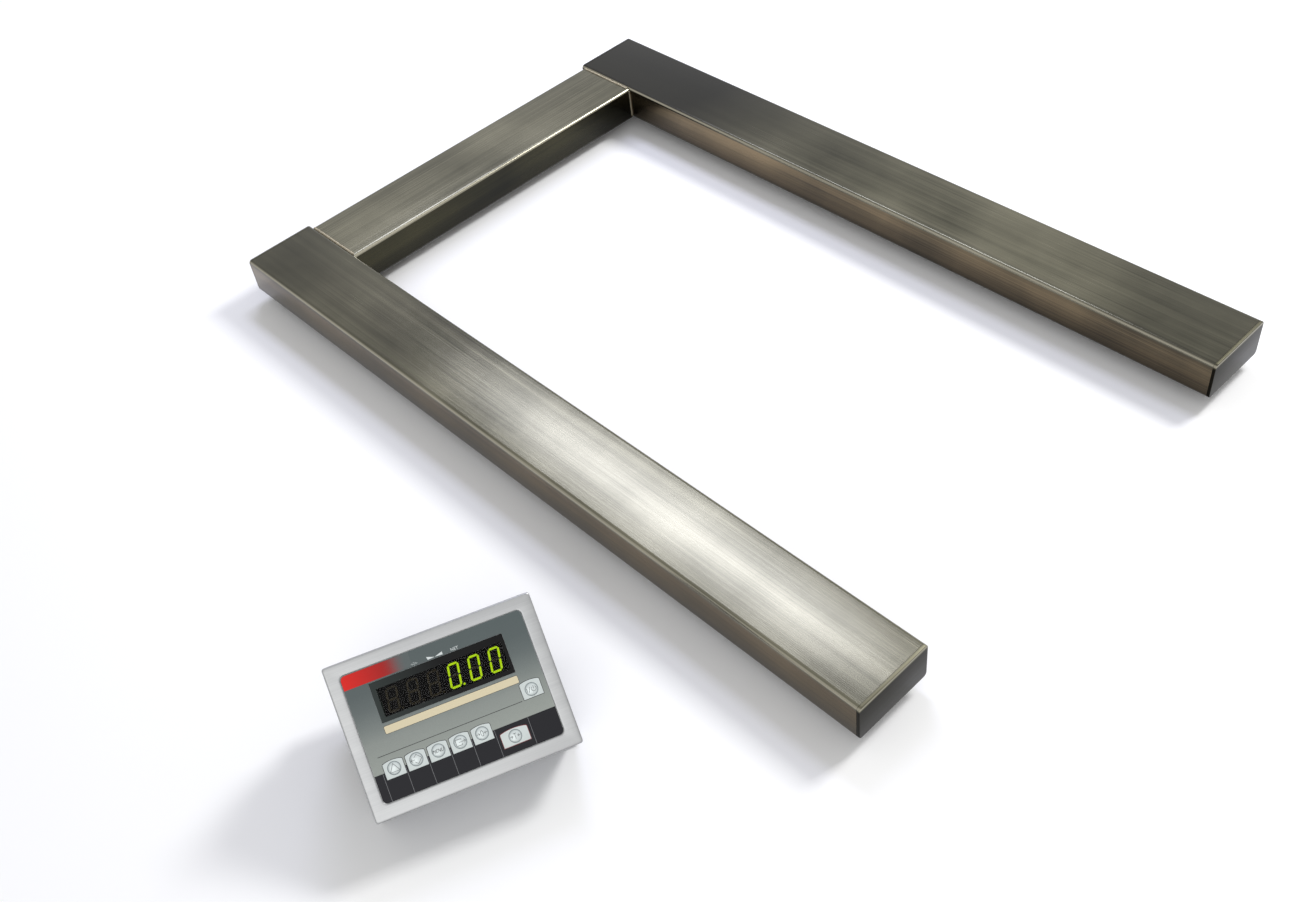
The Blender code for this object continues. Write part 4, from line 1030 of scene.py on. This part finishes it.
def makeFigures():
    wide, high, bar = figureShape["width"], figureShape["height"], figureShape["bar"]
    gap = figureShape["gap"]
    sideX, topY = (wide - bar) / 2, (high - bar) / 2
    across, along = wide - bar - 2 * gap, topY - 2 * gap
    bars = {"a": (across, False, 0, topY), "b": (along, True, sideX, topY / 2),
            "c": (along, True, sideX, -topY / 2), "d": (across, False, 0, -topY),
            "e": (along, True, -sideX, -topY / 2), "f": (along, True, -sideX, topY / 2),
            "g": (across, False, 0, 0)}
    lit, dim = [], []
    for i, shown in enumerate(figureShape["lit"]):
        centerX = figureShape["first"] + i * figureShape["pitch"]
        for name, (length, upright, x, y) in bars.items():
            made = figureBar("bar", length, upright, centerX + x, y)
            (lit if name in shown else dim).append(made)
        if i < len(figureShape["lit"]) - 1:
            point = addRound("point", figureShape["pointRadius"] * mm,
                             figureShape["face"] - figureShape["back"],
                             ((centerX + figureShape["pointSide"]) * mm, -topY * mm,
                              (figureShape["face"] + figureShape["back"]) / 2), 20)
            (lit if i == figureShape["litPoint"] else dim).append(point)
    slant = Matrix.Identity(4)
    slant[0][1] = figureShape["slant"]
    slant[1][3] = figureShape["middle"] * mm
    for name, items, finish in (("figures_lit", lit, litFinish), ("figures_dim", dim, dimFinish)):
        joined = joinAll(name, items)
        joined.data.transform(slant)
        finishPanel(joined, name, finish, "digit_block")


makeWindow()
makeFigures()
print("window ready")


# keys and the signs on them

keyShape = {
    "dome": [(0, 1.2), (1.2, 1.165), (2.4, 1.06), (3.6, 0.885), (4.8, 0.635), (5.7, 0.395), (6.5, 0.14),
             (7.0, -0.03), (7.25, -0.1), (7.45, -0.16), (7.5, -0.3)],
    "flangeTop": -3.0, "flange": 9.0, "flangeThick": 0.8, "stem": 2.4,
}


def domeHeight(centerX, centerY):
    rings = keyShape["dome"]

    def height(x, y):
        radius = math.hypot(x - centerX, y - centerY) / mm
        for (near, top), (far, low) in zip(rings, rings[1:]):
            if radius <= far:
                return (top + (low - top) * (radius - near) / (far - near)) * mm
        return inkHeights["tab"]
    return height


def arrow(tail, tip, head):
    # a shaft and its open head, from tail to tip along one line
    way = 1 if tip > tail else -1
    return [[(tail, 0), (tip, 0)], [(tip - way * head, head), (tip, 0), (tip - way * head, -head)]]


def ring(radiusX, radiusY, x=0, start=0, sweep=360, count=20):
    return [(x + radiusX * math.cos(math.radians(start + sweep * i / count)),
             radiusY * math.sin(math.radians(start + sweep * i / count)))
            for i in range(count + (sweep < 360))]


inwardArrows = arrow(-6.2, -2.7, 1.5) + arrow(6.2, 2.7, 1.5)
keySigns = {
    "test": {"closed": [[(-5.4, -3.9), (5.4, -3.9), (0, 5.3)]]},
    "units": {"open": [[(-2.2, 2.2), (1.0, 5.2), (6.0, 0), (1.0, -5.2), (-2.2, -2.2)]]
              + arrow(-1.6, -6.2, 1.9)},
    "menu": {"words": ("MENU", 13.2, 3.9, 0.25)},
    "print": {"open": [[(1.6, 1.9), (1.6, 3.3), (-5.0, 3.3), (-5.0, -3.5), (1.6, -3.5), (1.6, -2.0)]]
              + arrow(-1.6, 6.0, 2.0)},
    "zero": {"open": inwardArrows, "closed": [ring(1.35, 3.1)]},
    "tare": {"open": inwardArrows + [[(-1.9, 2.9), (1.9, 2.9)], [(0, 2.9), (0, -3.0)]]},
    "power": {"open": [[(-5.2, -2.4), (-5.2, 2.4)], [(-3.5, -3.0), (-1.4, 3.0)],
                       ring(2.7, 2.7, 2.6, 125, 290), [(2.6, 0.3), (2.6, 3.4)]]},
}


def makeKey(name):
    x, y = keySpots[name]
    stemEnd = min(point.z for point in keyPoints(name))
    top, flange, stem = keyShape["flangeTop"], keyShape["flange"], keyShape["stem"]
    under = top - keyShape["flangeThick"]
    profile = [(0.6 * stem * mm, stemEnd), (stem * mm, stemEnd + 0.4 * mm), (stem * mm, under * mm),
               (flange * mm, under * mm), (flange * mm, top * mm), (7.5 * mm, top * mm)]
    profile += [(max(radius, 0.02) * mm, height * mm) for radius, height in reversed(keyShape["dome"])]
    cap = addTurned("cap", profile, (x, y, 0), 56)
    finishPanel(cap, "cap_" + name, keyFinish, "key_cap", "key_" + name, body=name + "_key", angle=40)
    surface = domeHeight(x, y)
    sign = keySigns[name]
    strokes = []
    for style in ("open", "closed"):
        for points in sign.get(style, []):
            strokes.append(addStroke("stroke", [(x + a * mm, y + b * mm) for a, b in points],
                                     inkShape["strokeWidth"], surface, style == "closed"))
    if "words" in sign:
        words, width, height, shear = sign["words"]
        strokes.append(addWords("words", words, width * mm, height * mm, (x, y), surface, shear))
    finishPanel(joinAll("sign_" + name, strokes), "sign_" + name, signInk, "key_cap", body=name + "_key")


def makeSmallSigns():
    line = inkShape["signLine"]

    def flat(x, y):
        return filmShape["face"] + 0.02 * mm
    strokes = []
    for points in ([[(x * 0.62, y * 0.62) for x, y in stroke] for stroke in inwardArrows]
                   + [ring(0.9, 1.7)]):
        strokes.append(addStroke("stroke", [(a * mm - 24.6 * mm, b * mm + line) for a, b in points],
                                 inkShape["smallWidth"], flat, len(points) > 15))
    strokes.append(addWords("words", "NET", 8.6 * mm, 3.2 * mm, (22 * mm, line), flat, thick=0.03 * mm))
    for points in ([(-10, 2.2), (-9.2, -1.4), (-1.2, -0.9)], [(8, 2.0), (8, -1.4), (-1.0, -0.9)]):
        strokes.append(addOutline("wedge", [(a * mm, b * mm + line) for a, b in points],
                                  inkShape["sunk"], inkHeights["line"]))
    finishInk(joinAll("ink_signs", strokes), "ink_signs", paleInk)


for name in keyNames:
    makeKey(name)
makeSmallSigns()
print("keys ready")


# stand of bent sheet, in the frame that the indicator stands in

standShape = {
    "place": (0.33915, -0.513935, 0), "half": 120 * mm, "sheet": 2 * mm, "bend": 3 * mm,
    "points": [(-0.01, 0.006), (-0.01, 0.001), (0.1203, 0.001), (0.15233, 0.06968), (0.1234, 0.10415),
               (0.11268, 0.09515)],
    "cut": (160 * mm, -18 * mm, 90.3 * mm), "cutCorner": 8 * mm,
    "opening": (110 * mm, 20 * mm, 34 * mm), "openingRise": 33 * mm, "openingCorner": 6 * mm,
    "lean": 65, "screwHole": 2.3 * mm,
}


def makeStand():
    points = [Vector((0, y, z)) for y, z in standShape["points"]]
    half = standShape["half"]
    pickNone()
    bpy.ops.mesh.primitive_plane_add(size=1)
    sheet = newest("sheet")
    for vert in sheet.data.vertices:
        start = points[0] if vert.co.y < 0 else points[1]
        vert.co = Vector((math.copysign(half, vert.co.x), start.y, start.z))

    def pickCrease(place):
        selectParts(sheet, "EDGE", lambda e: all((v.co - place).yz.length < 0.1 * mm for v in e.verts))

    for here, there in zip(points[1:], points[2:]):
        pickCrease(here)
        extrudeBy(there - here)
        objectMode()
    for before, corner, after in zip(points, points[1:], points[2:]):
        fold = (before - corner).angle(after - corner) / 2
        trim = standShape["bend"] / math.tan(fold)
        pickCrease(corner)
        bpy.ops.mesh.bevel(offset=trim, segments=8, affect="EDGES")
        objectMode()
    editAll(sheet)
    faceOutwards()
    thicken(sheet, standShape["sheet"], 0)
    width, front, back = standShape["cut"]
    notch = addBlock("notch", (width, back - front, 30 * mm), (0, (front + back) / 2, 0))
    roundAlong(notch, standShape["cutCorner"], 6, 2)
    opening = addBlock("opening", standShape["opening"], (0, 0, 0))
    roundAlong(opening, standShape["openingCorner"], 6, 1)
    lean = math.radians(standShape["lean"])
    slope = (points[3] - points[2]).normalized()
    opening.data.transform(Matrix.Translation(points[2] + slope * standShape["openingRise"])
                           @ Matrix.Rotation(lean - math.pi / 2, 4, "X"))
    cutAway(sheet, notch, opening)
    sheet.data.transform(Matrix.Translation(standShape["place"]) @ Matrix.Rotation(placing["turn"], 4, "Z"))
    for number in (1, 2):
        spot = panelPlace.inverted() @ middle(f"stand_screw_{number}")
        hole = addRound("hole", standShape["screwHole"], 8 * mm, (*spot.xy, -93 * mm), 24)
        hole.data.transform(panelPlace)
        cutAway(sheet, hole)
    roundEdges(sheet, 0.25 * mm, 1, lambda e: len(e.link_faces) == 2 and e.calc_face_angle(0) > 1.2)
    finishPiece(sheet, "bent_stand", standSteel, "bent_steel", "indicator", "stand")


makeStand()
print("stand ready")


# glands, screws, feet's studs and nuts

glandShape = {
    "hexRadius": 12.5, "hexHeight": 5, "inner": 10, "nut": 5, "gap": 0.3, "bore": 5.4,
    "thread": (7.4, 0.6, 0.75, 7.9),
    "dome": [(8.2, 4.6), (8.2, 6.0), (9.2, 6.2), (9.5, 6.6), (9.5, 14.4), (9.3, 15.6), (8.9, 17.6),
             (8.1, 19.8), (7.1, 21.6), (6.0, 22.8), (5.5, 23.2)],
    "ribs": (6.5, 15.7, 0.95), "ribSides": 48,
    "insert": [(5.3, 6), (5.3, 22.9), (5.0, 23.25), (4.2, 23.25), (3.6, 22.6), (3.5, 22), (3.5, 12)],
}


def makeGland(node, wall, body, place):
    # along +Z from the outer face of a wall
    gap, thick = glandShape["gap"], glandShape["nut"]
    top = gap + glandShape["hexHeight"]
    base, nut = [addRound(name, glandShape["hexRadius"] * mm, length * mm, (0, 0, height * mm), 6)
                 for name, length, height in (("base", glandShape["hexHeight"], (gap + top) / 2),
                                              ("nut", thick, -wall - gap - thick / 2))]
    for hexagon in (base, nut):
        roundRims(hexagon, 0.5 * mm)
    sides = glandShape["ribSides"]
    dome = addTurned("dome", inMm(glandShape["dome"]), sides=sides)
    ribLow, ribHigh, ribShare = glandShape["ribs"]
    selectParts(dome, "VERT", lambda v: ribLow * mm < v.co.z < ribHigh * mm
                and round(math.atan2(v.co.y, v.co.x) / (2 * math.pi / sides)) % 4 == 0)
    bpy.ops.transform.resize(value=(ribShare, ribShare, 1), center_override=(0, 0, 0))
    objectMode()
    root, ridge, pitch, neck = glandShape["thread"]
    start = -wall - glandShape["inner"]
    ridges = [(root + ridge * (i % 2), start + 0.4 + pitch * i) for i in range(int(-start / pitch))]
    thread = addTurned("thread", inMm([(root, start), *ridges, (neck, gap + 1)]), sides=40)
    fuse(base, dome, thread, nut)
    cutAway(base, addRound("bore", glandShape["bore"] * mm, 80 * mm, (0, 0, 0), 40))
    finishPiece(base, node + "_metal", glandFinish, "nickel_brass", body, node, place=place)
    insert = addTurned("insert", inMm(glandShape["insert"]), sides=40)
    finishPiece(insert, node + "_insert", rubberFinish, "gasket_rubber", body, place=place)


screwShape = {
    "head": [(1.2, -2.4), (2.3, -2.22), (3.2, -1.75), (3.7, -1.05), (3.8, -0.5), (3.75, 0), (2.0, 0)],
    "step": 0.35, "root": 1.72, "crest": 2.0, "tip": 1.4, "slot": (4.4, 0.9, 2.6),
}


def screwHead(name, length):
    # head towards -Z, shank along +Z from its seat
    step = screwShape["step"]
    shank = [(screwShape["crest" if i % 2 else "root"], step + step * i)
             for i in range(int(length / step) - 1)]
    screw = addTurned(name, inMm([*screwShape["head"], *shank, (screwShape["tip"], length)]), sides=32)
    long, thin, deep = screwShape["slot"]
    for size in ((long, thin, deep), (thin, long, deep)):
        cutAway(screw, addBlock("slot", [side * mm for side in size], (0, 0, -2.4 * mm)))
    return screw


def placeScrew(node, place, length, body):
    screw = screwHead(node + "_steel", length)
    finishPiece(screw, node + "_steel", zincFinish, "zinc_steel", body, node, place=place, angle=40)


gland = middle("platform_gland")
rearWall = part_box("access_cover")[1].x + 0.3 * mm
makeGland("platform_gland", 3, "platform", Matrix.Translation((rearWall, gland.y, gland.z))
          @ Matrix.Rotation(-math.pi / 2, 4, "Y"))
for number, (x, y) in enumerate(boxShape["glands"], 1):
    makeGland(f"housing_gland_{number}", 1.2, "indicator",
              panelPlace @ Matrix.Translation((x, y, boxShape["back"])) @ Matrix.Rotation(math.pi, 4, "X"))
# for each kind its places, how far its seat stands off the back wall, and its length
for kind, spots, seat, length in (("housing", "screws", 0.3, 83.5), ("stand", "standScrews", 2.6, 9)):
    for number, (x, y) in enumerate(boxShape[spots], 1):
        placeScrew(f"{kind}_screw_{number}",
                   panelPlace @ Matrix.Translation((x, y, boxShape["back"] - seat * mm)), length, "indicator")
for number in (1, 2):
    low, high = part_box(f"access_cover_screw_{number}")
    placeScrew(f"access_cover_screw_{number}",
               Matrix.Translation((low.x + 2.4 * mm, (low.y + high.y) / 2, (low.z + high.z) / 2))
               @ Matrix.Rotation(math.pi / 2, 4, "Y"), 9, "platform")


accessShape = inMm({"corner": 5, "edge": 0.4, "screwHole": 2.3})


def makeAccessCover():
    low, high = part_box("access_cover")
    plate = fillBox("plate", low, high)
    roundAlong(plate, accessShape["corner"], 8, 0)
    roundEdges(plate, accessShape["edge"], 2, lambda e: all(v.co.x < low.x + 0.1 * mm for v in e.verts))
    for number in (1, 2):
        spot = middle(f"access_cover_screw_{number}")
        cutAway(plate, addRound("hole", accessShape["screwHole"], 12 * mm, (low.x, spot.y, spot.z), 24,
                                (0, math.pi / 2, 0)))
    finishPiece(plate, "service_plate", coverPlateSteel, "satin_steel", "platform", "access_cover")


footShape = {
    "hexLow": 14.2, "hexHigh": 19.2, "hexRadius": 7.5, "studTop": 62.4, "pitch": 1.75,
    "ballMiddle": 8.8, "ballRadius": 5.5, "neck": 3.3, "root": 5.1, "crest": 5.95,
    "nutLow": 29.1, "nutHigh": 36.1, "nutRadius": 10.4, "nutBore": 6.3,
}


def makeStud(number):
    spot = middle(f"foot_stud_{number}")
    low, high, top = footShape["hexLow"], footShape["hexHigh"], footShape["studTop"]
    neck, root, step = footShape["neck"], footShape["root"], footShape["pitch"] / 2
    # most of a ball, from its lowest point up to the neck
    ball = [(max(0.4, footShape["ballRadius"] * math.cos(a)),
             footShape["ballMiddle"] + footShape["ballRadius"] * math.sin(a))
            for a in (-math.pi / 2 + 0.927 * math.pi * 0.755 * i / 10 for i in range(11))]
    stud = addTurned("stud", inMm([*ball, (neck, 13.4), (neck, low + 0.5)]), sides=32)
    flats = addRound("flats", footShape["hexRadius"] * mm, (high - low) * mm,
                     (0, 0, (high + low) / 2 * mm), 6)
    roundRims(flats, 0.5 * mm)
    ridges = [(footShape["crest"] if i % 2 else root, high + i * step)
              for i in range(int((top - high - 1) / step))]
    shank = addTurned("shank", inMm([(root, high - 0.8), *ridges, (5.2, top - 0.8), (4.6, top)]), sides=32)
    fuse(stud, flats, shank)
    finishPiece(stud, f"stud_{number}_steel", zincFinish, "zinc_steel", f"stud_{number}",
                f"foot_stud_{number}", place=Matrix.Translation((spot.x, spot.y, 0)))


def makeLocknut(number):
    spot = middle(f"foot_locknut_{number}")
    low, high = footShape["nutLow"] * mm, footShape["nutHigh"] * mm
    nut = addRound("nut", footShape["nutRadius"] * mm, high - low, (spot.x, spot.y, (low + high) / 2), 6)
    roundRims(nut, 0.7 * mm)
    cutAway(nut, addRound("bore", footShape["nutBore"] * mm, 20 * mm, (spot.x, spot.y, (low + high) / 2), 32))
    finishPiece(nut, f"locknut_{number}_steel", zincFinish, "zinc_steel", "platform",
                f"foot_locknut_{number}")


makeAccessCover()
for number in range(1, 5):
    makeStud(number)
    makeLocknut(number)
print("fittings ready")


# carried-over CAD nodes

carried = {
    zincFinish: ("cell_bolts",),
    cellFinish: ("load_cell",),
    rubberFinish: ("front_gasket",),
    sheathFinish: ("cell_cable",),
    boardFinish: ("junction_board", "front_board", "power_board"),
    blockFinish: ("display_digits",),
}
for finish, starts in carried.items():
    for node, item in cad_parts.items():
        if node.startswith(starts):
            item.data.materials.clear()
            item.data.materials.append(finish)
print("carried nodes finished")


# stage, light and camera

stageSet = {
    "floorSize": 40, "floor": (0.96, 0.96, 0.96), "ambient": 0.54,
    "keyPlace": Vector((-1.5, 1.28, 2.6)), "keyAim": Vector((-1.5, 1.28, 0)), "keySize": (1.9, 0.6),
    "keyPower": 40, "keyColor": (0.74, 0.77, 1),
    "backPlace": Vector((0.9, 2.8, 3.0)), "backAim": Vector((0, 0, 0)), "backSize": (1.0, 1.0),
    "backPower": 100, "backColor": (1, 1, 1),
    "fillPlace": Vector((2.4, -2.2, 2.2)), "fillAim": Vector((0, 0, 0)), "fillSize": (2.4, 2.4),
    "fillPower": 24, "fillColor": (1, 1, 1),
}


def makeStage():
    pickNone()
    bpy.ops.mesh.primitive_plane_add(size=stageSet["floorSize"], location=(0, 0, -0.4 * mm))
    floor = bpy.context.object
    floor.name = "floor"
    cloth = Finish("floor_paint", stageSet["floor"], 0.9)
    floor.data.materials.append(cloth.material)
    for name in ("key", "back", "fill"):
        lamp = bpy.data.lights.new(name + "_light", "AREA")
        lamp.shape = "RECTANGLE"
        lamp.size, lamp.size_y = stageSet[name + "Size"]
        lamp.energy = stageSet[name + "Power"]
        lamp.color = stageSet[name + "Color"]
        item = bpy.data.objects.new(name + "_light", lamp)
        bpy.context.collection.objects.link(item)
        item.location = stageSet[name + "Place"]
        aim = stageSet[name + "Aim"] - stageSet[name + "Place"]
        item.rotation_euler = aim.to_track_quat("-Z", "Y").to_euler()


def makeWorld():
    # full white where it is seen or mirrored, dimmer where it lights
    world = bpy.data.worlds.new("studio")
    bpy.context.scene.world = world
    sky = Sheet(world)
    sky.tree.nodes.clear()
    rays = sky.node("ShaderNodeLightPath").socket.node.outputs
    seen, glossy, passing = [Wire(sky, rays[f"Is {kind} Ray"])
                             for kind in ("Camera", "Glossy", "Transmission")]
    seen = seen.calc("MAXIMUM", glossy.calc("MAXIMUM", passing))
    strength = sky.node("ShaderNodeMapRange", None, {"Value": seen, "To Min": stageSet["ambient"]})
    back = sky.node("ShaderNodeBackground", None, {"Color": (1, 1, 1, 1), "Strength": strength})
    sky.node("ShaderNodeOutputWorld", None, {"Surface": back})


shot = {
    "place": Vector((1.207, -0.8678, 1.4053)), "azimuth": math.radians(52.22),
    "elevation": math.radians(45.46), "roll": math.radians(8.56), "imageWidth": 1300, "focal": 1412.1,
}


def makeCamera():
    azimuth, elevation, roll = shot["azimuth"], shot["elevation"], shot["roll"]
    back = Vector((math.sin(azimuth) * math.cos(elevation), -math.cos(azimuth) * math.cos(elevation),
                   math.sin(elevation)))
    level = (-back).cross(Vector((0, 0, 1))).normalized()
    down = (-back).cross(level).normalized()
    right = level * math.cos(roll) + down * math.sin(roll)
    up = level * math.sin(roll) - down * math.cos(roll)
    turn = Matrix((right, up, back)).transposed()
    lens = bpy.data.cameras.new("camera")
    lens.sensor_width = 36
    lens.lens = shot["focal"] / shot["imageWidth"] * lens.sensor_width
    lens.clip_start = 0.01
    camera = bpy.data.objects.new("camera", lens)
    bpy.context.collection.objects.link(camera)
    camera.matrix_world = Matrix.Translation(shot["place"]) @ turn.to_4x4()
    bpy.context.scene.camera = camera


makeStage()
makeWorld()
makeCamera()
bpy.context.scene.view_settings.view_transform = "Standard"
print("stage ready")
